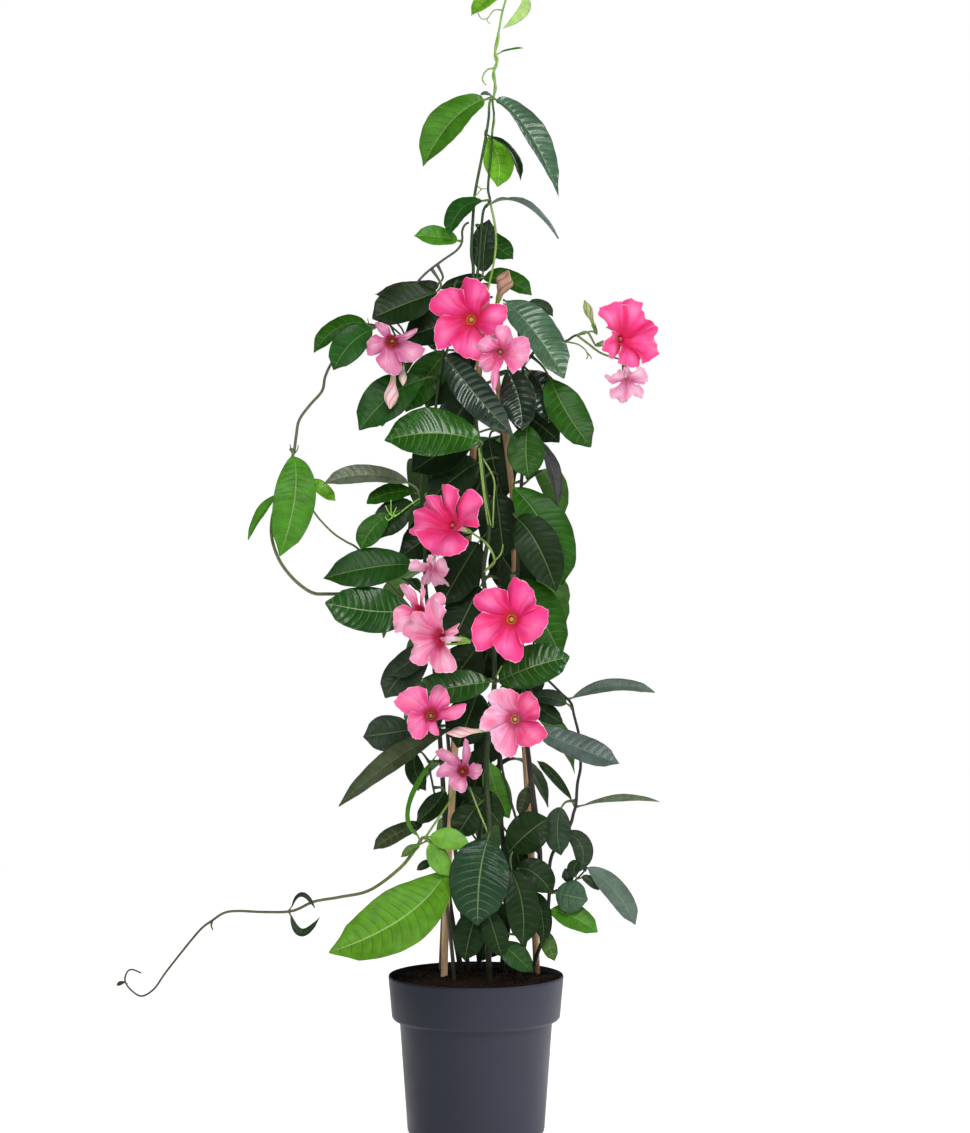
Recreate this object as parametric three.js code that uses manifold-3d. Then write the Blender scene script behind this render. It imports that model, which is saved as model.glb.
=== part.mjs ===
// Mandevilla climbing on three canes in a round nursery pot.
// Millimetres, +Z up, the pot's axis on Z and its foot at z = 0. The viewer stands at -Y.
import * as THREE from "three";
import { mergeVertices } from "three/addons/utils/BufferGeometryUtils.js";
import Module from "manifold-3d";

const wasm = await Module();
wasm.setup();

// Driving dimensions. Pot and soil:
const rimRadius = 95;
const potHeight = 169.5;
const bandHeight = 46;
const bandFootRadius = 90.8;
const bodyTopRadius = 82.4;
const footRadius = 74;
const potWall = 1.9;
const floorTop = 5;
const footRecess = 2.5;
const drainRadius = 4.5;
const drainCircle = 42;
const drainCount = 8;
const soilTop = 165;
const fitGap = 0.35;
const holeGap = 1.2;
// Canes and their tie
const caneRadius = 3.9;
const caneTopRadius = 3.1;
const caneStep = 90;
const tieHeight = 903;
const tieWire = 1.1;
// Stems: sides and ring spacing of their bars, fewer sides where they start thinner than slenderBelow
const stemSides = 4;
const stemStep = 34;
const slenderBelow = 1.2;
const ribStep = 4;
// Leaves: petioleLead is how far back from the blade its stalk looks for the stem
const bladeThickness = 0.8;
const bladeClearance = 1.6;
const petioleRadius = 1.25;
const petioleClearance = 0.4;
const petioleLead = 10;
const straightBelow = 8;
const foreignWeight = 50;
// Blooms
const corollaThickness = 0.8;
const lobeCount = 5;
const tubeLength = 0.86;
const throatRadius = 0.16;
const lobeCorner = 0.6;
const lobeSplit = 0.45;
const openNotch = 16;
const notchDepth = 0.2;
// Detail finer than this is merged away once a piece's parts are joined
const mergeWithin = 0.38;

// Places of stems, leaves and blooms are [x, z, depth]: x and z as they appear from the viewer's eye on the
// upright plane through the pot's axis, then how far behind that plane the point lies (minus is in front).
const eye = { x: 9.7, z: 610, distance: 2820 };

function at([x, z, depth]) {
  const spread = 1 + depth / eye.distance;
  return new THREE.Vector3(eye.x + (x - eye.x) * spread, depth, eye.z + (z - eye.z) * spread);
}

// Stems: radii at foot and tip, then the places that the centre line passes through. Twigs the same way.
// A leaf is its blade's foot, middle and tip, half width, [turn, lift] of its upper face, and fold.
const stems = {
  climber: {
    main: {
      radius: [3.4, 1.1],
      points: [
        [14, 140, -18], [14, 172, -18], [12, 245, -30], [15, 318, -40], [11, 385, -28], [14, 440, -26],
        [20, 487, -36], [17, 545, -22], [8, 600, -18], [14, 652, -26], [9, 700, -20], [3, 746, -28],
        [-6, 800, -14], [-10, 860, -2], [-3, 925, 4], [-5, 950, 2], [-3, 991, 0], [-1, 1014, 0],
        [7.5, 1058, 0], [13.4, 1092, 0], [14.6, 1111, 0], [19.4, 1119, -1], [20.5, 1135, 1.6],
        [19.4, 1147, -1.6], [23.3, 1157, 1.6], [20.5, 1168, -1.6], [24.8, 1189, 1.6], [28, 1207, 0],
        [32, 1222, 0], [35, 1238, -2],
      ],
    },
    twigs: [
      [[1.7, 1.0], [
        [-9, 880, 2], [2, 930, 10], [6, 978, 7], [8.6, 996, 3], [15, 1005, -1], [13, 1019, 0],
        [15.7, 1051, -4], [17.3, 1076, -4], [19.4, 1097, -4], [18, 1113, 2.4], [21.5, 1127, -2],
        [18, 1141, 2.2], [22.6, 1152, -1.6], [20, 1162, 1.8], [24, 1177, -1.4], [25, 1192, -1],
      ]],
      [[0.8, 0.5], [[28, 1212, 0], [20, 1211, -3], [14, 1204, -5], [12, 1200, -6], [15, 1196, -7]]],
      [[0.7, 0.5], [[13, 1202, -5], [7, 1201, -6], [4, 1204, -6], [2, 1208, -6]]],
      [[1.0, 0.7], [[20, 1148, 0], [13, 1147, -3], [8, 1141, -5], [7, 1135, -6], [11, 1130, -7]]],
      [[0.7, 0.5], [[-1, 1020, 0], [6, 1018, -2], [12, 1018, -1]]],
      [[0.7, 0.4], [[5, 1018, -2], [-1, 1010, -4], [-8, 1009, -5]]],
      [[0.9, 0.6], [[19, 1101, -3], [20, 1090, -6], [17, 1076, -6]]],
      [[1.0, 0.8], [[3, 746, -28], [4, 725, -36], [8, 690, -38], [13, 655, -28]]],
      [[1.0, 0.8], [[5, 744, -28], [6.5, 715, -30], [10, 685, -32], [16, 654, -28]]],
      [[1.0, 0.8], [[16, 735, -10], [19, 705, -24], [19, 680, -28], [18, 652, -26]]],
      [[1.0, 0.8], [[14, 604, -20], [20, 616, -34], [27, 624, -38], [29, 634, -40]]],
      [[1.0, 0.8], [[24, 489, -38], [25, 497, -46], [28, 503, -50]]],
      [[1.1, 0.8], [[15, 320, -41], [3, 346, -38], [-7, 372, -36]]],
    ],
    leaves: [
      [[30, 1227, -2], [12, 1222, -8], [-5, 1205, -12], 11, [-10, 35], 15],
      [[38, 1234, -3], [53, 1216, -6], [29, 1191, -10], 7, [40, 20], 20],
      [[27, 1166, -2], [39, 1168.5, -4], [51, 1170, -6], 3, [0, 60], 20],
      [[17, 1118, -4], [11, 1121, -6], [5, 1119, -8], 4, [0, 50], 10],
      [[9, 1114, -5], [-27, 1090, -16], [-57, 1042, -25], 24, [-21, 22], 22],
      [[22, 1114, -5], [56, 1080, -14], [89, 1010, -22], 20, [42, 12], 30],
      [[11, 1073, 4], [24, 1050, 1], [23, 1020, -3], 17, [8, 8], 8],
      [[0, 221, -24], [-2, 232, -27], [-1, 244, -28], 5.5, [0, 10], 8],
      [[16, 1074, -8], [38, 1057, -11], [48, 1027, -12], 9, [50, 45], 20],
      [[7, 1005, -6], [-16, 995, -14], [-29, 968, -22], 15, [-20, 40], 18],
      [[18, 1003, -5], [52, 1001, -18], [89, 964, -30], 11, [10, 78], 22],
      [[8, 928, 13], [9, 955, 8], [14, 985, 4], 15, [-5, -5], 10],
      [[3, 974, 14], [21, 957, 6], [40, 942, -2], 15, [20, 15], 12],
      [[8, 921, 16], [33, 919, 8], [60, 903, 2], 16, [10, 40], 20],
      [[8, 921, 14], [-12, 918, 14], [-39, 910, 12], 9, [0, 30], 10],
      [[4, 746, -42], [-46, 754, -52], [-99, 746, -56], 30, [0, 28], 12],
      [[-32, 838, -24], [-4, 800, -38], [40, 752, -42], 19, [-28, 12], 14],
      [[24, 486, -44], [62, 502, -52], [101, 512, -50], 25, [8, 28], 14],
      [[15, 485, -44], [-28, 479, -52], [-76, 468, -50], 21, [-5, 30], 12],
      [[13, 316, -48], [4, 275, -60], [2, 222, -62], 33, [-2, 16], 12],
      [[-8, 370, -16], [10, 352, -20], [28, 330, -22], 16, [0, 15], 12],
      [[2, 352, -26], [-10, 336, -30], [-20, 318, -31], 17, [-10, 15], 12],
      [[3, 242, -36], [-6, 214, -40], [-12, 184, -42], 18, [-10, 20], 12],
      [[12, 240, -38], [20, 214, -44], [28, 188, -46], 14, [10, 20], 12],
      [[14, 398, -10], [22, 368, -4], [36, 338, 0], 15, [10, 10], 10],
    ],
  },
  looping_shoot: {
    main: {
      radius: [2.5, 1.2],
      points: [
        [-6, 140, 46], [-8, 172, 46], [-22, 300, 48], [-30, 420, 40], [-40, 520, 36], [-80, 572, 24],
        [-120, 580, 8], [-158.8, 580.3, -2], [-176, 581.4, -8], [-192.4, 592.1, -12], [-206.3, 607.3, -15],
        [-215, 622.4, -18], [-220.3, 639.7, -18], [-221, 654.8, -16], [-218, 672, -10], [-210, 700, -6],
        [-197.7, 730.4, -2], [-194.4, 749.8, 0], [-191, 768, 2], [-179.3, 784.5, 4], [-166.3, 799.5, 6],
        [-163, 814.7, 6], [-156.6, 828.7, 4], [-151, 835, 2], [-135, 850, 2], [-112, 867, 0],
        [-95, 882.7, 2], [-82, 897, 4], [-68, 911.8, 2], [-54, 927, 2], [-35.7, 941, 2], [-20.5, 951.8, 2],
        [-15, 961.5, 0], [-15, 972, -2], [-12, 979, -4], [-8, 981.5, -3],
      ],
    },
    twigs: [
      [[1.5, 0.9], [
        [-62, 556, 29], [-98, 596, 16], [-126, 627.8, 4], [-141.5, 637.5, 2], [-155.5, 647.2, 2],
        [-173.4, 666.7, 2], [-186, 690, 2], [-195, 716, 1],
      ]],
      [[0.8, 0.5], [[-198, 731, -2], [-200, 737, -4], [-201, 742, -5]]],
      [[0.8, 0.5], [[-197, 732, -2], [-193, 736, -4], [-192, 741, -5]]],
      [[0.8, 0.4], [[-112, 869, 0], [-116, 873, -4], [-117, 878, -6]]],
    ],
    leaves: [
      [[-20, 962, -3], [-42, 966, -9], [-67, 967, -14], 13, [0, 25], 20],
      [[-42, 906, -2], [-78, 893, -10], [-112, 878, -16], 24, [0, 22], 14],
      [[-40, 915, 8], [-72, 906, 5], [-109, 904, 0], 15, [0, 35], 12],
      [[-118, 872, -6], [-148, 868, -14], [-175, 841, -18], 15, [-20, 40], 16],
      [[-112, 866, -10], [-136, 850, -20], [-154, 822, -24], 18, [5, 10], 18],
      [[-197, 729, -8], [-196, 683, -24], [-212, 621, -26], 23, [8, 6], 10],
      [[-214, 687, -14], [-231, 668, -12], [-246, 639, -8], 8, [-40, 20], 25],
      [[-178, 704, 4], [-166, 694, 2], [-152, 681, 0], 8, [10, 20], 10],
    ],
  },
  left_stem: {
    main: {
      radius: [3.2, 1.4],
      points: [
        [-14, 140, 30], [-16, 172, 30], [-30, 260, 28], [-36, 380, 22], [-45, 500, 20], [-55, 600, 18],
        [-52, 690, 12], [-46, 760, 14], [-36, 840, 16], [-25, 905, 14], [-20, 920, 14],
      ],
    },
    twigs: [
      [[1.0, 0.5], [[-52, 690, 12], [-72, 676, -2], [-90, 664, -12], [-92, 682, -16]]],
      [[0.9, 0.4], [[-88, 664, -11], [-94, 668, -15], [-98, 676, -17]]],
      [[0.9, 0.4], [[-88, 664, -11], [-88, 670, -16], [-86, 674, -18]]],
      [[0.9, 0.4], [[-86, 666, -10], [-95, 660, -14], [-98, 664, -16]]],
      [[1.5, 1.0], [[-38, 400, 20], [-50, 398, 8], [-47, 375, 0], [-42, 352, 2]]],
    ],
    leaves: [
      [[-60, 812, 0], [-95, 792, -8], [-126, 757, -14], 24, [-8, 12], 12],
      [[-32, 842, 8], [-54, 814, 6], [-76, 777, 4], 20, [0, 10], 12],
      [[-74, 701, -4], [-120, 709, -16], [-165, 699, -28], 13, [0, 34], 18],
      [[-66, 690, 4], [-94, 689, 2], [-118, 678, 0], 13, [0, 40], 12],
      [[-66, 676, 4], [-90, 664, 0], [-104, 640, -4], 18, [0, 10], 12],
      [[-94, 666, 2], [-113, 649, -2], [-124, 628, -4], 14, [-10, 10], 12],
      [[-70, 612, -4], [-112, 609, -14], [-165, 597, -18], 23, [0, 25], 12],
      [[-70, 562, -12], [-114, 562, -24], [-163, 571, -28], 27, [0, 20], 14],
      [[-52, 524, 4], [-72, 507, -2], [-92, 493, -8], 15, [-10, 20], 12],
      [[-52, 508, 10], [-78, 494, 4], [-98, 468, 0], 20, [-5, 15], 12],
      [[-68, 434, -2], [-94, 430, -12], [-122, 426, -16], 21, [-5, 20], 10],
      [[-30, 434, -4], [-88, 401, -24], [-148, 351, -34], 16, [-15, 45], 18],
      [[-64, 408, 2], [-66, 390, -1], [-54, 368, -4], 11, [-5, 5], 14],
      [[-34, 368, 6], [-46, 350, -4], [-64, 334, -10], 13, [-15, 25], 12],
      [[-58, 332, -2], [-86, 321, -14], [-111, 304, -22], 12, [-15, 40], 14],
    ],
  },
  runner: {
    main: {
      radius: [2.3, 0.9],
      points: [
        [-24, 140, -14], [-24, 172, -14], [-30, 230, -20], [-38, 290, -28], [-55, 317, -32],
        [-66, 304, -34], [-82, 284.4, -36], [-114.5, 260.6, -40], [-146.9, 253, -42], [-175, 248, -42],
        [-198.7, 237.9, -42], [-229, 236.8, -40], [-257, 237.9, -38], [-272.2, 235.8, -38],
        [-285, 227.5, -38], [-295.9, 219.6, -38], [-310, 203.4, -38], [-334.8, 172, -38],
        [-347.8, 153.7, -38], [-361.3, 146, -36], [-372.6, 152.6, -34], [-379.1, 162.3, -32],
        [-376.9, 172, -30], [-371.5, 174.8, -30], [-361.8, 171, -32],
      ],
    },
    twigs: [
      [[1.4, 0.6], [[-284, 228, -38], [-286, 222, -40], [-284, 217, -41]]],
    ],
    leaves: [
      [[-33, 279, -38], [-80, 230, -60], [-159, 193, -70], 34, [-13, 20], 14],
      [[-50, 318, -38], [-30, 315, -44], [-6, 308, -46], 13, [0, 30], 18],
      [[-50, 311, -38], [-41, 294, -42], [-30, 276, -44], 12, [10, 10], 15],
      [[-62, 319, -34], [-71, 352, -38], [-41, 408, -32], 6, [-60, 10], 25],
      [[-61, 309, -37], [-70, 304, -41], [-81, 296, -43], 6, [-10, 40], 18],
      [[-46, 292, -32], [-55, 288, -35], [-64, 282, -37], 5, [0, 30], 10],
      [[-199, 242, -44], [-188, 255, -48], [-174, 241, -50], 4, [0, 60], 20],
      [[-200, 234, -44], [-188, 214, -48], [-169, 231, -50], 5, [-10, 40], 20],
      [[-379, 161, -32], [-384, 160, -34], [-388, 157, -35], 2.5, [0, 40], 10],
    ],
  },
  right_stem: {
    main: {
      radius: [3.2, 1.4],
      points: [
        [44, 140, 8], [46, 172, 8], [60, 240, 2], [69, 293, -2], [62, 350, -6], [57, 400, -6],
        [52, 450, -2], [50, 520, 4], [45, 600, 8], [48, 680, 12], [52, 760, 14], [50, 830, 12],
        [42, 890, 14],
      ],
    },
    twigs: [
      [[1.8, 1.2], [[50, 828, 12], [70, 848, 8], [96, 853, 0], [106, 859, -4], [118, 862, -8]]],
      [[1.0, 0.6], [[96, 853, 0], [110, 850, -6], [118, 844, -8], [121, 838, -9], [119, 834, -10]]],
      [[0.8, 0.5], [[119, 842, -8], [123, 838, -11], [125, 834, -12]]],
      [[1.5, 1.1], [
        [66, 300, -2], [50, 318, -8], [42, 342, -8], [28, 395, -6], [30, 440, -8], [40, 470, -4],
      ]],
      [[1.6, 1.1], [
        [69, 300, -2], [70, 325, -12], [66, 342, -13], [60, 390, -14], [55, 430, -8], [52, 452, -2],
      ]],
    ],
    leaves: [
      [[31, 897, -6], [64, 862, -22], [95, 813, -26], 27, [28, 22], 22],
      [[56, 893, 14], [70, 892, 12], [83, 880, 8], 8, [10, 30], 12],
      [[34, 822, -6], [46, 792, -16], [50, 757, -20], 20, [-12, 5], 14],
      [[58, 820, 4], [74, 796, -4], [78, 765, -8], 18, [10, 5], 12],
      [[80, 813, 6], [98, 776, -4], [124, 739, -10], 23, [18, 12], 14],
      [[56, 762, 0], [54, 734, -8], [57, 706, -12], 21, [-2, 15], 12],
      [[68, 746, 4], [82, 715, 0], [88, 676, -4], 11, [46, 5], 20],
      [[41, 695, 2], [76, 647, -10], [92, 590, -14], 29, [18, 14], 14],
      [[44, 662, -6], [66, 634, -20], [87, 583, -24], 24, [-5, 10], 12],
      [[38, 596, -4], [66, 561, -14], [92, 513, -14], 27, [15, 10], 12],
      [[52, 466, 4], [71, 455, -2], [94, 440, -4], 12, [0, 20], 14],
      [[64, 434, -8], [110, 414, -20], [155, 397, -28], 18, [8, 38], 16],
      [[36, 302, -18], [56, 322, -24], [78, 338, -22], 22, [0, 15], 12],
      [[46, 284, -16], [64, 278, -24], [83, 256, -26], 17, [8, 18], 12],
      [[38, 282, -26], [50, 244, -36], [50, 200, -38], 19, [5, 10], 14],
      [[64, 258, -6], [71, 234, -10], [73, 204, -12], 11, [10, 8], 12],
      [[26, 204, -44], [42, 190, -52], [61, 172, -56], 14, [5, 30], 12],
      [[56, 372, 2], [52, 358, 0], [47, 341, -2], 8, [-15, 10], 12],
      [[72, 218, 8], [78, 202, 2], [85, 184, -2], 9, [10, 10], 10],
    ],
  },
  right_shoot: {
    main: {
      radius: [2.3, 1.2],
      points: [
        [58, 140, 22], [60, 172, 22], [74, 215, 14], [79, 254, 6], [79, 279, 4], [83, 300.6, 2],
        [100.4, 327.6, 0], [105.4, 343.8, 0], [108, 353.5, 0], [109.5, 375, 0], [112.9, 393.4, 2],
        [112, 415, 2], [111.2, 428, 2], [105.8, 449.6, 2], [102.6, 462.6, 2], [92.9, 472.3, 4],
        [82, 483.1, 6], [66, 500, 12], [62, 530, 16],
      ],
    },
    twigs: [
      [[1.5, 0.9], [[79, 256, 6], [92, 262, 0], [106, 270, -3], [120, 284, -4]]],
    ],
    leaves: [
      [[104, 468, -2], [148, 481, -14], [193, 474, -22], 9, [0, 38], 20],
      [[98, 462, -2], [82, 468, -8], [62, 470, -12], 10, [0, 30], 14],
      [[116, 352, -4], [156, 359, -14], [198, 356, -22], 7, [0, 62], 18],
      [[103, 359, -4], [84, 384, -9], [66, 400, -12], 6, [-30, 20], 25],
      [[92, 350, -5], [88, 326, -11], [92, 298, -15], 15, [-5, 8], 10],
      [[97, 322, -4], [114, 308, -8], [113, 281, -12], 12, [12, 16], 18],
      [[121, 285, -5], [151, 258, -14], [172, 223, -20], 14, [12, 28], 14],
      [[86, 257, -6], [102, 254, -14], [121, 250, -17], 18, [0, 15], 6],
      [[98, 269, -4], [99, 276, -8], [96, 284, -10], 7, [0, 20], 12],
      [[114, 275, -6], [124, 270, -9], [133, 260, -11], 6, [15, 25], 12],
      [[108, 275, -5], [106, 284, -9], [112, 292, -11], 8, [0, 15], 12],
      [[80, 239, -2], [106, 231, -14], [131, 215, -18], 15, [8, 30], 12],
    ],
  },
  centre_stem: {
    main: {
      radius: [3.0, 1.4],
      points: [
        [25, 140, 38], [28, 172, 38], [32, 260, 44], [25, 380, 48], [30, 500, 44], [24, 620, 45],
        [28, 740, 43], [22, 840, 42], [14, 890, 40],
      ],
    },
    twigs: [
    ],
    leaves: [
      [[-2, 838, 6], [-30, 814, 0], [-54, 782, -4], 25, [-10, 14], 12],
      [[2, 800, 6], [-18, 776, 0], [-34, 744, -6], 22, [-6, 10], 12],
      [[14, 748, 30], [20, 716, 22], [30, 682, 16], 24, [5, 12], 12],
      [[-4, 752, 0], [-36, 734, -4], [-70, 712, -8], 25, [-12, 20], 12],
      [[2, 722, 4], [-20, 708, 0], [-50, 682, -4], 22, [-8, 14], 12],
      [[6, 702, 6], [-10, 672, 0], [-26, 640, -4], 25, [-6, 10], 12],
      [[22, 690, 26], [26, 656, 16], [30, 620, 10], 25, [4, 10], 12],
      [[2, 636, 4], [-16, 606, 0], [-38, 568, -6], 25, [-8, 14], 12],
      [[20, 634, 50], [38, 606, 48], [58, 574, 44], 25, [8, 12], 12],
      [[4, 588, 6], [-10, 560, 0], [-26, 526, -6], 25, [-6, 12], 12],
      [[24, 580, 26], [22, 548, 16], [16, 512, 8], 25, [0, 12], 12],
      [[2, 524, 4], [-14, 502, -2], [-36, 474, -8], 25, [-8, 14], 12],
      [[30, 516, 30], [48, 492, 22], [68, 466, 16], 24, [8, 14], 12],
      [[2, 474, 4], [-8, 446, -2], [-20, 414, -8], 24, [-6, 12], 12],
      [[26, 470, 28], [30, 440, 18], [30, 406, 14], 24, [4, 12], 12],
      [[4, 414, 8], [0, 382, 2], [-6, 350, -4], 20, [-4, 12], 12],
      [[12, 384, 42], [-12, 358, 38], [-30, 326, 34], 19, [-8, 12], 12],
      [[24, 250, 38], [14, 216, 34], [6, 184, 32], 24, [-4, 12], 12],
      [[4, 664, 26], [-34, 652, 20], [-84, 618, 14], 28, [-12, 14], 12],
      [[-14, 882, 20], [-46, 868, 14], [-78, 858, 8], 22, [-8, 18], 12],
      [[24, 548, 44], [12, 516, 36], [6, 480, 30], 22, [-4, 12], 12],
      [[26, 440, 34], [16, 420, 30], [6, 396, 26], 18, [-4, 12], 12],
      [[30, 786, 40], [62, 768, 34], [90, 744, 28], 21, [8, 14], 12],
      [[34, 322, 40], [44, 300, 36], [50, 272, 32], 19, [8, 12], 12],
    ],
  },
  back_stem: {
    main: {
      radius: [3.0, 1.4],
      points: [
        [4, 140, 64], [4, 172, 64], [0, 260, 70], [8, 400, 76], [-4, 520, 80], [6, 640, 78], [-2, 760, 72],
        [6, 850, 64], [8, 900, 56],
      ],
    },
    twigs: [
    ],
    leaves: [
    ],
  },
};

// Bloom: name, stem, middle of its mouth, radius, [turn, lift] of its axis, spin of its throat,
// [how deep its lobes are cut, ruffle, cup, how unevenly they lean], [heading, length, half width] of each
// lobe, places of its stalk
const blooms = [
  ["bloom_a", "climber", [-6, 877, -50], 45, [-12, 4], 57, [0.27, 0.05, 0.1, 0.1],
    [[78, 45, 33], [141, 49, 32], [205, 47, 29], [267, 45, 36], [356, 41, 35]],
    [[15, 1003, -1], [20.5, 978, -6], [21.6, 960, -8], [19.4, 939, -10], [14, 914, -8]]],
  ["bloom_b", "looping_shoot", [-91, 853, -34], 36, [-4, -14], 31, [0.28, 0.08, 0.16, 0.35],
    [[20, 32, 13], [117, 27, 23], [189, 30, 31], [261, 36, 32], [328, 37, 29]],
    [[-96, 881, 2], [-93, 872, 2]]],
  ["bloom_c", "right_stem", [26, 841, -76], 38, [-4, -24], 55, [0.28, 0.15, 0.24, 0.4],
    [[73, 34, 29], [142, 27, 38], [212, 28, 30], [253, 39, 13], [356, 33, 44]],
    [[50, 836, 12], [42, 852, -10]]],
  ["bloom_d", "right_stem", [158, 856, -16], 45, [36, 5], 51, [0.2, 0.12, 0.34, 0.2],
    [[62, 43, 33], [128, 46, 31], [202, 40, 27], [271, 35, 41], [351, 43, 40]],
    [[110, 861, -5], [120, 863, -8]]],
  ["bloom_d2", "right_stem", [163, 812, 14], 25, [10, -50], 16, [0.25, 0.14, 0.3, 0.3],
    [[45, 26, 39], [100, 29, 15], [143, 29, 31], [246, 29, 35], [306, 26, 28]],
    [[108, 860, -4], [122, 850, -3], [136, 840, 4]]],
  ["bloom_e", "climber", [-27, 655, -62], 41, [-30, 10], -15, [0.14, 0.13, 0.3, 0.2],
    [[28, 47, 30], [87, 42, 25], [133, 41, 23], [178, 44, 25], [261, 37, 54]],
    [[14, 606, -20], [20, 616, -32], [12, 634, -36]]],
  ["bloom_e2", "left_stem", [-48, 609, -40], 25, [-24, -52], -5, [0.3, 0.1, 0.25, 0.3],
    [[21, 29, 30], [64, 29, 15], [140, 24, 53], [231, 29, 21], [278, 29, 28]],
    [[-54, 608, 18], [-48, 622, 0]]],
  ["bloom_f1", "left_stem", [-60, 561, -46], 34, [-16, 12], -9, [0.34, 0.1, 0.2, 0.35],
    [[18, 32, 32], [83, 29, 12], [120, 39, 18], [200, 34, 36], [293, 30, 37]],
    [[-51, 560, 19], [-54, 558, 6]]],
  ["bloom_f2", "left_stem", [-38, 533, -80], 41, [-42, 4], 0, [0.25, 0.1, 0.34, 0.3],
    [[14, 38, 16], [85, 44, 28], [154, 46, 30], [212, 39, 31], [296, 44, 30]],
    [[-46, 528, 19], [-30, 526, -2], [-8, 528, -34]]],
  ["bloom_g", "climber", [38, 553, -76], 45, [-8, 2], 50, [0.28, 0.05, 0.1, 0.1],
    [[64, 44, 34], [134, 46, 32], [203, 49, 32], [263, 46, 30], [345, 40, 43]],
    [[17, 548, -22], [28, 550, -28]]],
  ["bloom_h", "left_stem", [-49, 449, -76], 36, [0, 12], -13, [0.27, 0.08, 0.16, 0.45],
    [[4, 39, 22], [60, 34, 30], [139, 41, 34], [215, 30, 38], [277, 22, 25]],
    [[-40, 450, 20], [-46, 446, 0], [-50, 445, -26]]],
  ["bloom_i", "right_stem", [42, 445, -78], 39, [-6, 4], 26, [0.25, 0.06, 0.12, 0.2],
    [[40, 33, 38], [117, 39, 32], [177, 38, 30], [244, 41, 32], [314, 38, 34]],
    [[52, 446, -2], [46, 444, -22]]],
  ["bloom_j", "runner", [-14, 389, -60], 30, [10, 22], 43, [0.28, 0.08, 0.18, 0.4],
    [[75, 35, 15], [132, 36, 19], [176, 30, 25], [241, 25, 37], [352, 21, 37]],
    [[-53, 318, -32], [-36, 345, -28], [-25, 362, -22]]],
];

// Bud: name, stem, base, tip, widest radius, places of its stalk
const buds = [
  ["bud_b", "looping_shoot", [-89, 819, -14], [-93, 780, -26], 8,
    [[-96, 881, 2], [-78, 862, 2], [-84, 836, -4]]],
  ["bud_b2", "looping_shoot", [-79, 829, -8], [-79, 805, -14], 4.5,
    [[-90, 868, 2], [-74, 852, 2], [-78, 838, -2]]],
  ["bud_i", "climber", [8, 433, -48], [-32, 430, -56], 6, [[14, 440, -27], [15, 434, -40]]],
  ["withered_bloom", "right_stem", [23, 895, -34], [35, 930, -38], 9,
    [[44, 884, 14], [30, 880, -8], [22, 884, -28]]],
  ["bud_d", "right_stem", [128, 868, -10], [117, 898, -16], 5, [[116, 862, -8], [125, 864, -9]]],
];
// A repeatable draw between 0 and 1
function vary(index, salt) {
  const wild = Math.sin(index * 12.9898 + salt * 78.233) * 43758.5453;
  return wild - Math.floor(wild);
}

// Direction that a face looks in: turned right by turn and tilted up by lift, from straight at the viewer
function facing([turn, lift]) {
  const a = THREE.MathUtils.degToRad(turn);
  const b = THREE.MathUtils.degToRad(lift);
  return new THREE.Vector3(Math.sin(a) * Math.cos(b), -Math.cos(a) * Math.cos(b), Math.sin(b));
}

// A closed three.js geometry as a manifold solid, and back
function solidOf(geometry) {
  const bare = new THREE.BufferGeometry();
  bare.setAttribute("position", geometry.getAttribute("position"));
  bare.setIndex(geometry.getIndex());
  const merged = mergeVertices(bare, 1e-3);
  const index = merged.getIndex().array;
  const kept = [];
  for (let i = 0; i < index.length; i += 3) {
    const [a, b, c] = [index[i], index[i + 1], index[i + 2]];
    if (a !== b && b !== c && a !== c) kept.push(a, b, c);
  }
  const vertProperties = new Float32Array(merged.getAttribute("position").array);
  const closed = (triVerts) => new wasm.Manifold(new wasm.Mesh({ numProp: 3, vertProperties, triVerts }));
  const solid = closed(new Uint32Array(kept));
  return solid.volume() < 0 ? closed(new Uint32Array(kept.reverse())) : solid;
}

function geometryOf(solid) {
  const mesh = solid.getMesh();
  const positions = new Float32Array(mesh.numVert * 3);
  for (let i = 0; i < mesh.numVert; i++) {
    positions.set(mesh.vertProperties.subarray(i * mesh.numProp, i * mesh.numProp + 3), i * 3);
  }
  const geometry = new THREE.BufferGeometry();
  geometry.setAttribute("position", new THREE.BufferAttribute(positions, 3));
  geometry.setIndex(new THREE.BufferAttribute(new Uint32Array(mesh.triVerts), 1));
  geometry.computeVertexNormals();
  return geometry;
}

function geometryFrom(positions, index) {
  const geometry = new THREE.BufferGeometry();
  geometry.setAttribute("position", new THREE.Float32BufferAttribute(positions, 3));
  geometry.setIndex(index);
  return geometry;
}

// Points of the smooth curve through the places given, with a ring at each place and no step over stemStep
function alongCurve(places, step = stemStep) {
  const curve = new THREE.CatmullRomCurve3(places, false, "catmullrom", 0.5);
  const spans = places.length - 1;
  const points = [];
  for (let i = 0; i < spans; i++) {
    const parts = Math.max(1, Math.round(places[i].distanceTo(places[i + 1]) / step));
    for (let k = 0; k < parts; k++) points.push(curve.getPoint((i + k / parts) / spans));
  }
  points.push(places[spans].clone());
  return points;
}

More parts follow.
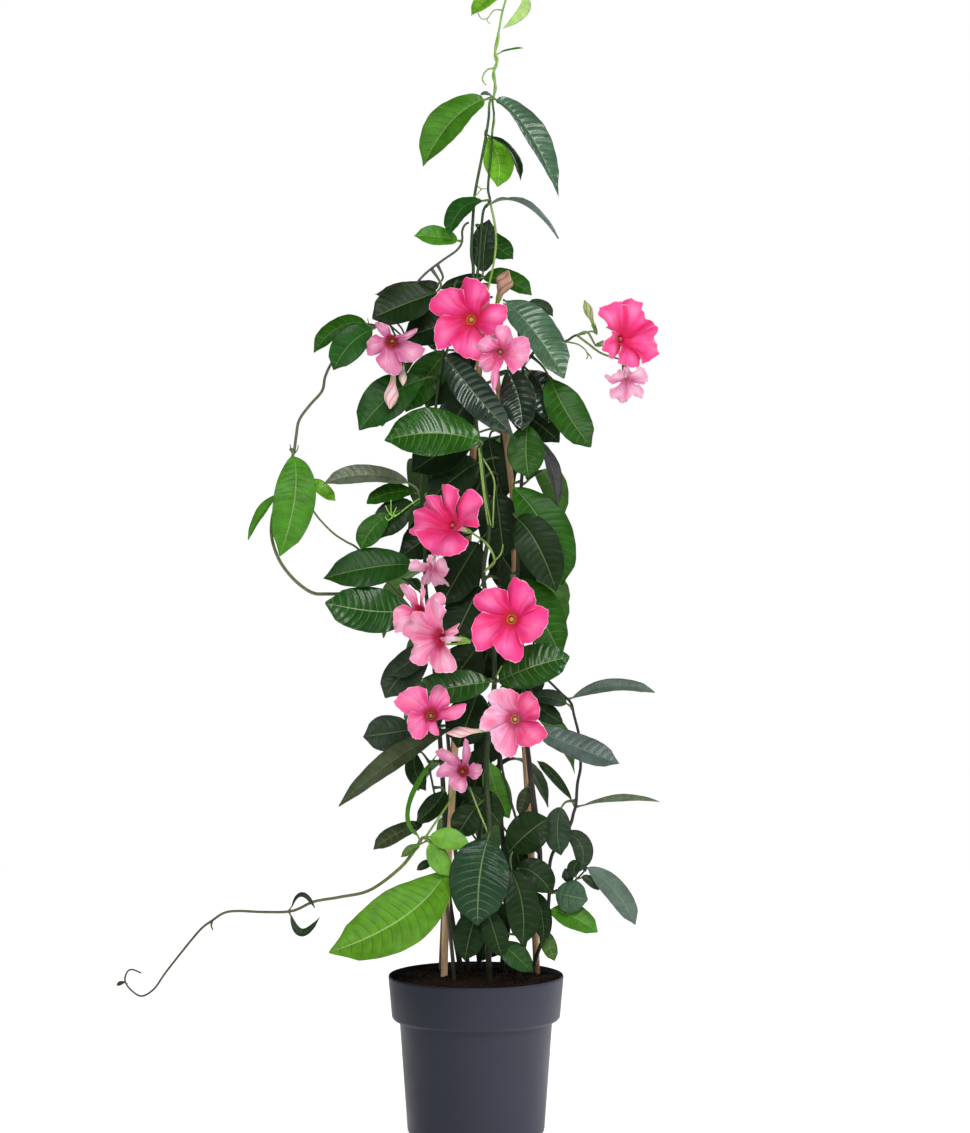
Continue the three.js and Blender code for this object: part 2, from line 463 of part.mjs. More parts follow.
// A closed round bar through the points, its rings carried along without twisting
function bar(points, radii, sides = stemSides) {
  const positions = [];
  const index = [];
  let normal = new THREE.Vector3(0.31, -0.95, 0.05);
  points.forEach((point, i) => {
    const before = points[Math.max(0, i - 1)];
    const after = points[Math.min(points.length - 1, i + 1)];
    const tangent = after.clone().sub(before).normalize();
    normal = normal.clone().addScaledVector(tangent, -normal.dot(tangent)).normalize();
    const across = tangent.clone().cross(normal);
    for (let k = 0; k < sides; k++) {
      const angle = (k / sides) * Math.PI * 2;
      const spot = point.clone().addScaledVector(normal, Math.cos(angle) * radii[i]);
      spot.addScaledVector(across, Math.sin(angle) * radii[i]);
      positions.push(...spot.toArray());
    }
  });
  for (let i = 0; i < points.length - 1; i++) {
    for (let k = 0; k < sides; k++) {
      const a = i * sides + k;
      const b = i * sides + ((k + 1) % sides);
      index.push(a, b, b + sides, a, b + sides, a + sides);
    }
  }
  const last = (points.length - 1) * sides;
  for (let k = 1; k < sides - 1; k++) {
    index.push(0, k + 1, k);
    index.push(last, last + k, last + k + 1);
  }
  return solidOf(geometryFrom(positions, index));
}

function taper(count, from, to) {
  return Array.from({ length: count }, (_, i) => from + ((to - from) * i) / (count - 1));
}

// A closed sheet of even thickness over a grid: place(u, v) gives the point and the way it is thickened
function sheet(us, vs, place, thickness) {
  const columns = vs.length;
  const layer = us.length * columns;
  const positions = [[], []];
  for (const u of us) {
    for (const v of vs) {
      const { point, normal } = place(u, v);
      positions[0].push(...point.clone().addScaledVector(normal, thickness / 2).toArray());
      positions[1].push(...point.clone().addScaledVector(normal, -thickness / 2).toArray());
    }
  }
  const index = [];
  const quad = (a, b, c, d) => index.push(a, b, c, a, c, d);
  for (let i = 0; i < us.length - 1; i++) {
    for (let j = 0; j < columns - 1; j++) {
      const a = i * columns + j;
      const [b, c, d] = [a + 1, a + columns + 1, a + columns];
      quad(a, b, c, d);
      index.push(layer + a, layer + c, layer + b, layer + a, layer + d, layer + c);
    }
    const left = i * columns;
    const right = left + columns - 1;
    quad(left, left + columns, layer + left + columns, layer + left);
    quad(right, layer + right, layer + right + columns, right + columns);
  }
  for (let j = 0; j < columns - 1; j++) {
    const end = (us.length - 1) * columns + j;
    quad(j, layer + j, layer + j + 1, j + 1);
    quad(end, end + 1, layer + end + 1, layer + end);
  }
  return solidOf(geometryFrom(positions.flat(), index));
}

// ---- leaves

// Half width of a blade along its length: narrow foot, broad middle and a drawn-out tip
function bladeOutline(u) {
  if (u <= 0 || u >= 1) return 0;
  const pinch = u > 0.86 ? 1 - ((u - 0.86) / 0.14) * 0.6 : 1;
  return Math.sin(Math.PI * u ** 1.04) ** 0.56 * pinch;
}

// The blade's surface: a midrib bent through three points, two halves folded up from it, a waved edge
function bladeSurface(leaf) {
  const { base, middle, tip, halfWidth, look, fold, phase } = leaf;
  const control = middle.clone().multiplyScalar(2).addScaledVector(base, -0.5).addScaledVector(tip, -0.5);
  const rib = new THREE.QuadraticBezierCurve3(base, control, tip);
  return (u, v) => {
    const tangent = rib.getTangent(THREE.MathUtils.clamp(u, 0.001, 0.999));
    const normal = look.clone().addScaledVector(tangent, -look.dot(tangent)).normalize();
    const side = tangent.clone().cross(normal);
    const width = halfWidth * bladeOutline(u);
    const wave = 0.07 * halfWidth * Math.sin(Math.PI * 3.2 * u + phase) * v * Math.abs(v);
    const lift = width * (Math.abs(v) * Math.sin(fold) - 0.1 * v * v) + (width > 0 ? wave : 0);
    const point = rib.getPoint(u);
    point.addScaledVector(side, width * v * Math.cos(fold)).addScaledVector(normal, lift);
    return { point, normal };
  };
}

// Places along a blade where its outline is set, more of them on a larger blade
const bladeStations = [
  { over: 16, us: [0, 0.15, 0.38, 0.64, 0.86, 1] },
  { over: 8, us: [0, 0.2, 0.52, 0.84, 1] },
  { over: 0, us: [0, 0.3, 0.75, 1] },
];

function stationsOf(leaf) {
  return bladeStations.find(({ over }) => leaf.halfWidth * (leaf.plain ? 0.5 : 1) > over).us;
}

function blade(leaf, thickness) {
  return sheet(stationsOf(leaf), [-1, 0, 1], bladeSurface(leaf), thickness);
}

// A blade's foot, a place inside its midrib, and the way back along it towards the stem
function bladeFoot(leaf) {
  const surface = bladeSurface(leaf);
  const foot = surface(0, 0).point;
  const inside = foot.clone().lerp(surface(stationsOf(leaf)[1], 0).point, 0.4);
  return { foot, inside, back: foot.clone().sub(inside).normalize() };
}

// The leaf's stalk, from the stem in under the blade's midrib. The smallest blades have a straight one.
function petiole(leaf, root, extra = 0) {
  const { foot, inside, back } = bladeFoot(leaf);
  const bend = foot.clone().addScaledVector(back, foot.distanceTo(root) * 0.45);
  const elbow = root.clone().multiplyScalar(0.25).addScaledVector(bend, 0.5).addScaledVector(foot, 0.25);
  const radius = Math.min(petioleRadius, 0.5 + leaf.halfWidth * 0.06) + extra;
  if (leaf.halfWidth < straightBelow) return bar([root, inside], [radius, 0.4 + extra], 3);
  return bar([root, elbow, inside], [radius * 1.2, radius, 0.4 + extra], 3);
}

// ---- blooms

// Axes of a bloom: forward out of its mouth, right and up as seen from in front
function bloomAxes(look) {
  const forward = facing(look);
  const right = new THREE.Vector3(0, 0, 1).cross(forward).normalize();
  return { forward, right, up: forward.clone().cross(right) };
}

// Places across a lobe, from the flank that lies under its neighbour to the flank that lies over the next
const acrossLobe = [-0.92, -0.3, 0.55, 0.9];

// A lobe's surface: t runs from the throat to the edge, s across. The five stand evenly round the throat, and
// further out each takes its own heading, length and width. Its outline is an axe blade, cut back gently
// towards s = -1 and steeply beyond its corner, more so on a narrow lobe. It leans like a pinwheel's blade
// out of a shallow cup and ruffles towards the edge.
function lobePlace({ centre, radius, spin, form, lobes, axes }, k, t, s) {
  const [cut, ruffle, cup, wild] = form;
  const [heading, length, halfWidth] = lobes[k];
  const own = THREE.MathUtils.smoothstep(t, 0, lobeSplit);
  const even = spin + k * 72 + s * 36;
  const angle = THREE.MathUtils.degToRad(even + (heading + halfWidth * s - even) * own);
  const corner = s < lobeCorner ? ((lobeCorner - s) / 1.6) ** 1.5 : ((s - lobeCorner) / 0.44) ** 1.6;
  const edge = length * (1 - Math.min(0.6, (cut * 36) / halfWidth) * Math.min(corner, 1.25));
  const reach = throatRadius * radius + (edge - throatRadius * radius) * t;
  const lean = wild * 0.5 * (vary(k, spin + 1) - 0.6);
  const rise = cup * (2 * t - t * t) - 0.05 * t * t - 0.07 * s * t ** 0.7 + lean * t * t;
  const ruffled = rise + ruffle * Math.sin(4.6 * s + 2.3 * k + spin) * t * t;
  const place = centre.clone().addScaledVector(axes.forward, radius * ruffled);
  place.addScaledVector(axes.right, Math.cos(angle) * reach);
  return place.addScaledVector(axes.up, Math.sin(angle) * reach);
}

// Columns of points round a corolla: some across each lobe, and one in each notch that stands open
function lobeColumns(lobes) {
  const columns = [];
  for (let k = 0; k < lobeCount; k++) {
    for (const s of acrossLobe) columns.push({ k, s });
    const [here, , width] = lobes[k];
    const [next, , nextWidth] = lobes[(k + 1) % lobeCount];
    if (((next - here + 360) % 360) - width - nextWidth > openNotch) columns.push({ k, s: 1, notch: true });
  }
  return columns;
}

// Trumpet: rings from the foot of the tube, out under the lobes, over their edge and down into the throat
function corolla(bloom) {
  const { centre, radius, axes } = bloom;
  const onTube = (along, wide) => ({ k, s }) => {
    const angle = THREE.MathUtils.degToRad(bloom.spin + k * 72 + s * 36);
    const place = centre.clone().addScaledVector(axes.forward, along * radius);
    place.addScaledVector(axes.right, Math.cos(angle) * wide * radius);
    return place.addScaledVector(axes.up, Math.sin(angle) * wide * radius);
  };
  const onLobe = (t, sink) => ({ k, s, notch }) => {
    const deep = notch ? Math.min(t, notchDepth) : t;
    const place = lobePlace(bloom, k, deep, s);
    if (notch) place.lerp(lobePlace(bloom, (k + 1) % lobeCount, deep, -s), 0.5);
    return place.addScaledVector(axes.forward, -sink);
  };
  const rings = [
    onTube(-tubeLength, 0.055), onTube(-0.5, 0.065), onTube(-0.05, 0.175),
    onLobe(1, corollaThickness), onLobe(1, 0), onLobe(0, 0),
  ];
  const columns = lobeColumns(bloom.lobes);
  const around = columns.length;
  const positions = [...centre.clone().addScaledVector(axes.forward, -tubeLength * radius).toArray()];
  for (const ring of rings) for (const column of columns) positions.push(...ring(column).toArray());
  positions.push(...centre.clone().addScaledVector(axes.forward, -0.36 * radius).toArray());
  const last = positions.length / 3 - 1;
  const index = [];
  for (let j = 0; j < around; j++) {
    const next = (j + 1) % around;
    index.push(0, 1 + next, 1 + j);
    for (let i = 0; i < rings.length - 1; i++) {
      const [a, b] = [1 + i * around + j, 1 + i * around + next];
      index.push(a, b, b + around, a, b + around, a + around);
    }
    index.push(last, last - around + j, last - around + next);
  }
  return solidOf(geometryFrom(positions, index));
}

// A bud is a spindle with its petals wound round it
const budProfile = [[0, 0], [0, 0.3], [0.3, 0.42], [0.62, 1], [0.82, 0.7], [1, 0]];

function budShape({ base, tip, radius, axes }) {
  const length = base.distanceTo(tip);
  const profile = budProfile.map(([z, r]) => new THREE.Vector2(r * radius, z * length));
  const geometry = new THREE.LatheGeometry(profile, 7).rotateX(Math.PI / 2);
  geometry.applyMatrix4(new THREE.Matrix4().makeBasis(axes.right, axes.up, axes.forward).setPosition(base));
  return solidOf(geometry);
}

// The flower stalk, ending in a calyx cup just under the corolla
function stalk(places, end, forward, radius = 1.1) {
  const neck = end.clone().addScaledVector(forward, -8);
  const cup = end.clone().addScaledVector(forward, -4);
  const lip = end.clone().addScaledVector(forward, -fitGap);
  const points = [...alongCurve([...places, neck], 22), cup, lip];
  const radii = [...taper(points.length - 2, radius * 1.1, radius), radius * 2.2, radius * 2.5];
  return bar(points, radii, 3);
}

// ---- pot, soil and canes

function lathe(profile, segments) {
  const geometry = new THREE.LatheGeometry(profile.map(([r, z]) => new THREE.Vector2(r, z)), segments);
  geometry.rotateX(Math.PI / 2);
  return solidOf(geometry);
}

function upright(radius, from, to, x, y, segments = 10) {
  const geometry = new THREE.CylinderGeometry(radius, radius, to - from, segments);
  geometry.rotateX(Math.PI / 2).translate(x, y, (from + to) / 2);
  return solidOf(geometry);
}

const bandFoot = potHeight - bandHeight;

function pot() {
  const shell = lathe(
    [
      [0, 0], [26, 0], [28, footRecess], [56, footRecess], [58.5, 0], [footRadius - 3, 0],
      [footRadius - 0.8, 1.2], [footRadius, 4], [bodyTopRadius, bandFoot - 3],
      [bandFootRadius - 2, bandFoot - 1.2], [bandFootRadius, bandFoot + 1.2],
      [rimRadius - 0.4, potHeight - 1.6], [rimRadius - 0.9, potHeight],
      [rimRadius - potWall - 0.4, potHeight],
      [bandFootRadius - potWall, bandFoot + 2], [bodyTopRadius - potWall, bandFoot - 1.5],
      [footRadius - potWall, floorTop], [0, floorTop],
    ],
    28,
  );
  const drains = Array.from({ length: drainCount }, (_, i) => {
    const angle = ((i + 0.5) / drainCount) * Math.PI * 2;
    const [x, y] = [Math.cos(angle) * drainCircle, Math.sin(angle) * drainCircle];
    return upright(drainRadius, -1, floorTop + 1, x, y, 6);
  });
  return shell.subtract(wasm.Manifold.union(drains));
}

function soil(holes) {
  const bed = lathe(
    [
      [0, floorTop + fitGap], [footRadius - potWall - 0.6, floorTop + fitGap],
      [bodyTopRadius - potWall - 0.5, bandFoot - 1.2], [bandFootRadius - potWall - 0.6, bandFoot + 2.4],
      [rimRadius - potWall - 1.6, soilTop - 1.4], [66, soilTop - 0.5], [34, soilTop + 0.6], [0, soilTop + 1],
    ],
    22,
  );
  return bed.subtract(wasm.Manifold.union(holes));
}

// Canes, in real x, y and z: a buried foot, then the places each passes through as it leans in to the tie.
// spread is the side of the tie's middle that it stands on there, in degrees from +X.
const tieCentre = [9, 20];
const tieSpacing = (2 * caneTopRadius + fitGap) / Math.sqrt(3);
const canes = {
  cane_front: { spread: -150, foot: [-35, 7, 24], lean: [[-34.4, 8, 172], [-27.6, 9, 330], [-8, 14, 640]] },
  cane_right: { spread: -30, foot: [60, 33.5, 50], lean: [[66, 37, 172], [43.4, 33, 584], [39.6, 29, 690]] },
  cane_back: { spread: 90, foot: [-36, 58, 50], lean: [[-37.6, 62, 172], [-24, 55, 420], [-8, 42, 680]] },
};

function cane({ spread, foot, lean }) {
  const angle = THREE.MathUtils.degToRad(spread);
  const [x, y] = [tieCentre[0] + tieSpacing * Math.cos(angle), tieCentre[1] + tieSpacing * Math.sin(angle)];
  const ends = [[x, y, tieHeight - 14], [x, y, tieHeight + 15]];
  const places = [foot, ...lean, ...ends].map((place) => new THREE.Vector3(...place));
  const points = alongCurve(places, caneStep);
  return bar(points, taper(points.length, caneRadius, caneTopRadius), 7);
}

// A hole in the soil round whatever stands in it: a little wider and deeper, and open at the top
function holeFor(foot, above, radius) {
  const down = foot.clone().sub(above).normalize();
  const floor = foot.clone().addScaledVector(down, 0.8);
  return bar([floor, above.clone().addScaledVector(down, -6)], [radius, radius], 6);
}

function caneTie() {
  const radius = tieSpacing + caneTopRadius + fitGap + tieWire;
  const ring = new THREE.TorusGeometry(radius, tieWire, 5, 16);
  ring.translate(tieCentre[0], tieCentre[1], tieHeight);
  return solidOf(ring);
}

// ---- growth: stems first, then blooms, then leaves bent clear of what already stands there

const pieces = new Map();
const ribs = new Map();
const standing = [];

function claim(node, solid) {
  if (!pieces.has(node)) pieces.set(node, []);
  pieces.get(node).push(solid);
  standing.push({ node, solid, box: solid.boundingBox() });
}

function boxesMeet(a, b) {
  return [0, 1, 2].every((i) => a.min[i] < b.max[i] && b.min[i] < a.max[i]);
}

// Volume that a solid shares with other nodes, and with its own
function crossing(solid, node) {
  const box = solid.boundingBox();
  const shared = { others: 0, own: 0 };
  for (const thing of standing) {
    if (!boxesMeet(box, thing.box)) continue;
    shared[thing.node === node ? "own" : "others"] += solid.intersect(thing.solid).volume();
  }
  return shared;
}

function growBar(node, places, [fromRadius, toRadius]) {
  const points = alongCurve(places);
  const sides = fromRadius < slenderBelow ? 3 : stemSides;
  claim(node, bar(points, taper(points.length, fromRadius, toRadius), sides));
  if (!ribs.has(node)) ribs.set(node, []);
  for (let i = 1; i < points.length; i++) {
    const parts = Math.ceil(points[i - 1].distanceTo(points[i]) / ribStep);
    for (let k = 0; k < parts; k++) ribs.get(node).push(points[i - 1].clone().lerp(points[i], k / parts));
  }
}

function nearestRib(node, place) {
  let best = null;
  for (const rib of ribs.get(node)) {
    if (!best || rib.distanceToSquared(place) < best.distanceToSquared(place)) best = rib;
  }
  return best.clone();
}

function rooted(node, places) {
  return [nearestRib(node, places[0]), ...places.slice(1)];
}

const soilHoles = [];
for (const [name, shape] of Object.entries(canes)) {
  claim(name, cane(shape));
  const [foot, above] = [shape.foot, shape.lean[0]].map((place) => new THREE.Vector3(...place));
  soilHoles.push(holeFor(foot, above, caneRadius + holeGap));
}
claim("cane_tie", caneTie());

for (const [name, { main, twigs }] of Object.entries(stems)) {
  const places = main.points.map(at);
  growBar(name, places, main.radius);
  soilHoles.push(holeFor(places[0], places[1], main.radius[0] + holeGap));
  for (const [radii, points] of twigs) growBar(name, rooted(name, points.map(at)), radii);
}
claim("pot", pot());
claim("soil", soil(soilHoles));

for (const [name, stem, centre, radius, look, spin, form, lobes, places] of blooms) {
  const bloom = { centre: at(centre), radius, spin, form, lobes, axes: bloomAxes(look) };
  const end = bloom.centre.clone().addScaledVector(bloom.axes.forward, -tubeLength * radius);
  claim(stem, stalk(rooted(stem, places.map(at)), end, bloom.axes.forward));
  claim(name, corolla(bloom));
}

for (const [name, stem, base, tip, radius, places] of buds) {
  const bud = { base: at(base), tip: at(tip), radius };
  const forward = bud.tip.clone().sub(bud.base).normalize();
  const right = new THREE.Vector3(0, -1, 0).cross(forward).normalize();
  bud.axes = { forward, right, up: forward.clone().cross(right) };
  claim(stem, stalk(rooted(stem, places.map(at)), bud.base, forward, 0.9));
  claim(name, budShape(bud));
}

// Ways to bend a leaf clear, mildest first: the whole leaf moves in depth and its tip swings further
const nudges = [];
for (const shift of [0, -4, 4, -8, 8, -13, 13, -19, 19, -26, 26, -34, 34]) {
  for (const swing of [0, -12, 12, -24, 24]) nudges.push({ shift, swing });
}
const effort = ({ shift, swing }) => Math.abs(shift) + 0.6 * Math.abs(swing);
nudges.sort((a, b) => effort(a) - effort(b));

// Takes the first way that leaves the blade a little air all round, or else the one that meets least
function placeLeaf(node, shapeFor) {
  let best = null;
  for (const nudge of nudges) {
    const leaf = shapeFor(nudge);
    const { foot, back } = bladeFoot(leaf);
    const root = nearestRib(node, foot.addScaledVector(back, petioleLead));
    const open = crossing(blade(leaf, bladeThickness + bladeClearance), node);
    const held = crossing(petiole(leaf, root, petioleClearance), node);
    const others = open.others + held.others;
    const fault = others * foreignWeight + open.own;
    if (!best || fault < best.fault) best = { fault, others, leaf, root };
    if (fault < 1e-6) break;
  }
  if (best.others > 1e-3) throw new Error(`a leaf of ${node} crosses another piece`);
  claim(node, blade(best.leaf, bladeThickness));
  claim(node, petiole(best.leaf, best.root));
}

let leafCount = 0;

function placedLeaf(name, [base, middle, tip, halfWidth, look, fold]) {
  const phase = 6.28 * vary(leafCount++, 1);
  return ({ shift, swing }) => ({
    base: at([base[0], base[1], base[2] + shift]),
    middle: at([middle[0], middle[1], middle[2] + shift + swing / 2]),
    tip: at([tip[0], tip[1], tip[2] + shift + swing]),
    halfWidth,
    look: facing(look),
    fold: THREE.MathUtils.degToRad(fold),
    phase,
    plain: name === "centre_stem",
  });
}

for (const [name, { leaves }] of Object.entries(stems)) {
  for (const row of leaves) placeLeaf(name, placedLeaf(name, row));
}

// Leaves that fill the inside and the far side: at each height the headings given, in degrees from +X
const fillers = {
  back_stem: { from: 235, to: 880, step: 72, headings: [[40, 134], [74, 112], [30, 152]], length: 112 },
  left_stem: { from: 450, to: 870, step: 130, headings: [[104], [124]], length: 84 },
  right_stem: { from: 440, to: 760, step: 130, headings: [[84], [84]], length: 80 },
};
const slimBelow = 400;

function fillerLeaf(stemPoint, heading, length) {
  const index = leafCount++;
  const size = length * (0.86 + 0.28 * vary(index, 2)) * (stemPoint.z < slimBelow ? 0.72 : 1);
  const sag = 16 + 34 * vary(index, 3);
  const turn = heading + 18 * (vary(index, 4) - 0.5);
  const phase = 6.28 * vary(index, 1);
  return ({ shift, swing }) => {
    const angle = THREE.MathUtils.degToRad(turn + 1.5 * shift);
    const out = new THREE.Vector3(Math.cos(angle), Math.sin(angle), 0);
    const point = (reach, height) => {
      const place = stemPoint.clone().addScaledVector(out, reach);
      place.z += height;
      return place;
    };
    return {
      base: point(15, 5),
      middle: point(15 + 0.52 * size, 12 + 0.5 * swing),
      tip: point(15 + 0.94 * size, swing - sag),
      halfWidth: 0.24 * size,
      look: new THREE.Vector3(0, 0, 1).addScaledVector(out, 0.5).normalize(),
      fold: THREE.MathUtils.degToRad(13),
      phase,
      plain: true,
    };
  };
}

for (const [name, { from, to, step, headings, length }] of Object.entries(fillers)) {
  const rows = Math.floor((to - from) / step) + 1;
  for (let i = 0; i < rows; i++) {
    const height = from + i * step;
    const nearer = (a, b) => (Math.abs(b.z - height) < Math.abs(a.z - height) ? b : a);
    const stemPoint = ribs.get(name).reduce(nearer);
    for (const heading of headings[i % headings.length]) {
      placeLeaf(name, fillerLeaf(stemPoint, heading, length));
    }
  }
}

// ---- the plant as a scene graph

const finishes = {
  pot: { color: 0x41434f, roughness: 0.42 },
  soil: { color: 0x1d1511, roughness: 0.95 },
  cane_front: { color: 0xc39a76, roughness: 0.7 },
  cane_right: { color: 0xb58463, roughness: 0.7 },
  cane_back: { color: 0x7d6350, roughness: 0.8 },
  cane_tie: { color: 0x3c4a33, roughness: 0.5 },
  climber: { color: 0x31601c, roughness: 0.35 },
  looping_shoot: { color: 0x436b28, roughness: 0.4 },
  left_stem: { color: 0x2b5220, roughness: 0.38 },
  runner: { color: 0x5f8f2a, roughness: 0.42 },
  right_stem: { color: 0x27451f, roughness: 0.36 },
  right_shoot: { color: 0x3c4b3d, roughness: 0.45 },
  centre_stem: { color: 0x1e3a17, roughness: 0.4 },
  back_stem: { color: 0x2a4d1e, roughness: 0.4 },
  bloom_b: { color: 0xe79db9, roughness: 0.6 },
  bloom_c: { color: 0xee86ab, roughness: 0.6 },
  bloom_d2: { color: 0xf3b2cb, roughness: 0.6 },
  bloom_e2: { color: 0xf2a9c5, roughness: 0.6 },
  bloom_f1: { color: 0xf6b6ce, roughness: 0.6 },
  bloom_f2: { color: 0xf394b8, roughness: 0.6 },
  bloom_h: { color: 0xf07ba8, roughness: 0.6 },
  bloom_i: { color: 0xf48bb1, roughness: 0.6 },
  bloom_j: { color: 0xe58fb2, roughness: 0.6 },
  withered_bloom: { color: 0xa98670, roughness: 0.8 },
  bud_d: { color: 0x8aa24a, roughness: 0.55 },
};
const petal = { color: 0xf0468a, roughness: 0.6 };
const budCream = { color: 0xecd3c4, roughness: 0.6 };

const plant = new THREE.Group();
for (const [name, parts] of pieces) {
  const finish = finishes[name] ?? (name.startsWith("bud") ? budCream : petal);
  const whole = wasm.Manifold.union(parts);
  const solid = name.startsWith("cane") ? whole : whole.asOriginal().simplify(mergeWithin);
  const material = new THREE.MeshStandardMaterial({ ...finish, metalness: 0 });
  const mesh = new THREE.Mesh(geometryOf(solid), material);
  mesh.name = name;
  plant.add(mesh);
}

export default plant;
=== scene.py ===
import math

import bpy
import numpy as np
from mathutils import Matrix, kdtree


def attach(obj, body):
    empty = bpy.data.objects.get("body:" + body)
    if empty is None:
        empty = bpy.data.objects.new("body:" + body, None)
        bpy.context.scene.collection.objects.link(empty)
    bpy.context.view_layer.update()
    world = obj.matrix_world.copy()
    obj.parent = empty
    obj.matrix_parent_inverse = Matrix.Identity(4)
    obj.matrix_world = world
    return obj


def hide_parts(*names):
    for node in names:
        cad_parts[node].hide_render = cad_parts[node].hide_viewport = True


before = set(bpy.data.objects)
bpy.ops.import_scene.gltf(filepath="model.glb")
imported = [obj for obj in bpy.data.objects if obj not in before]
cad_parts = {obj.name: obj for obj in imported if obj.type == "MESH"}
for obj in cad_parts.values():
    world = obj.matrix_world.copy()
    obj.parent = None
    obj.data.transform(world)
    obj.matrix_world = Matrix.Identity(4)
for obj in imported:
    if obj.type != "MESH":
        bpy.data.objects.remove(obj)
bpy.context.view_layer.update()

print("the packed plant is loaded")

# Millimetres until a mesh is made. Places of stems, leaves and blooms are [x, z, depth]: x and z as they
# appear from the viewer's eye on the upright plane through the pot's axis, then the depth behind that plane.
metre = 0.001
eye = {"x": 9.7, "z": 610.0, "distance": 2820.0}

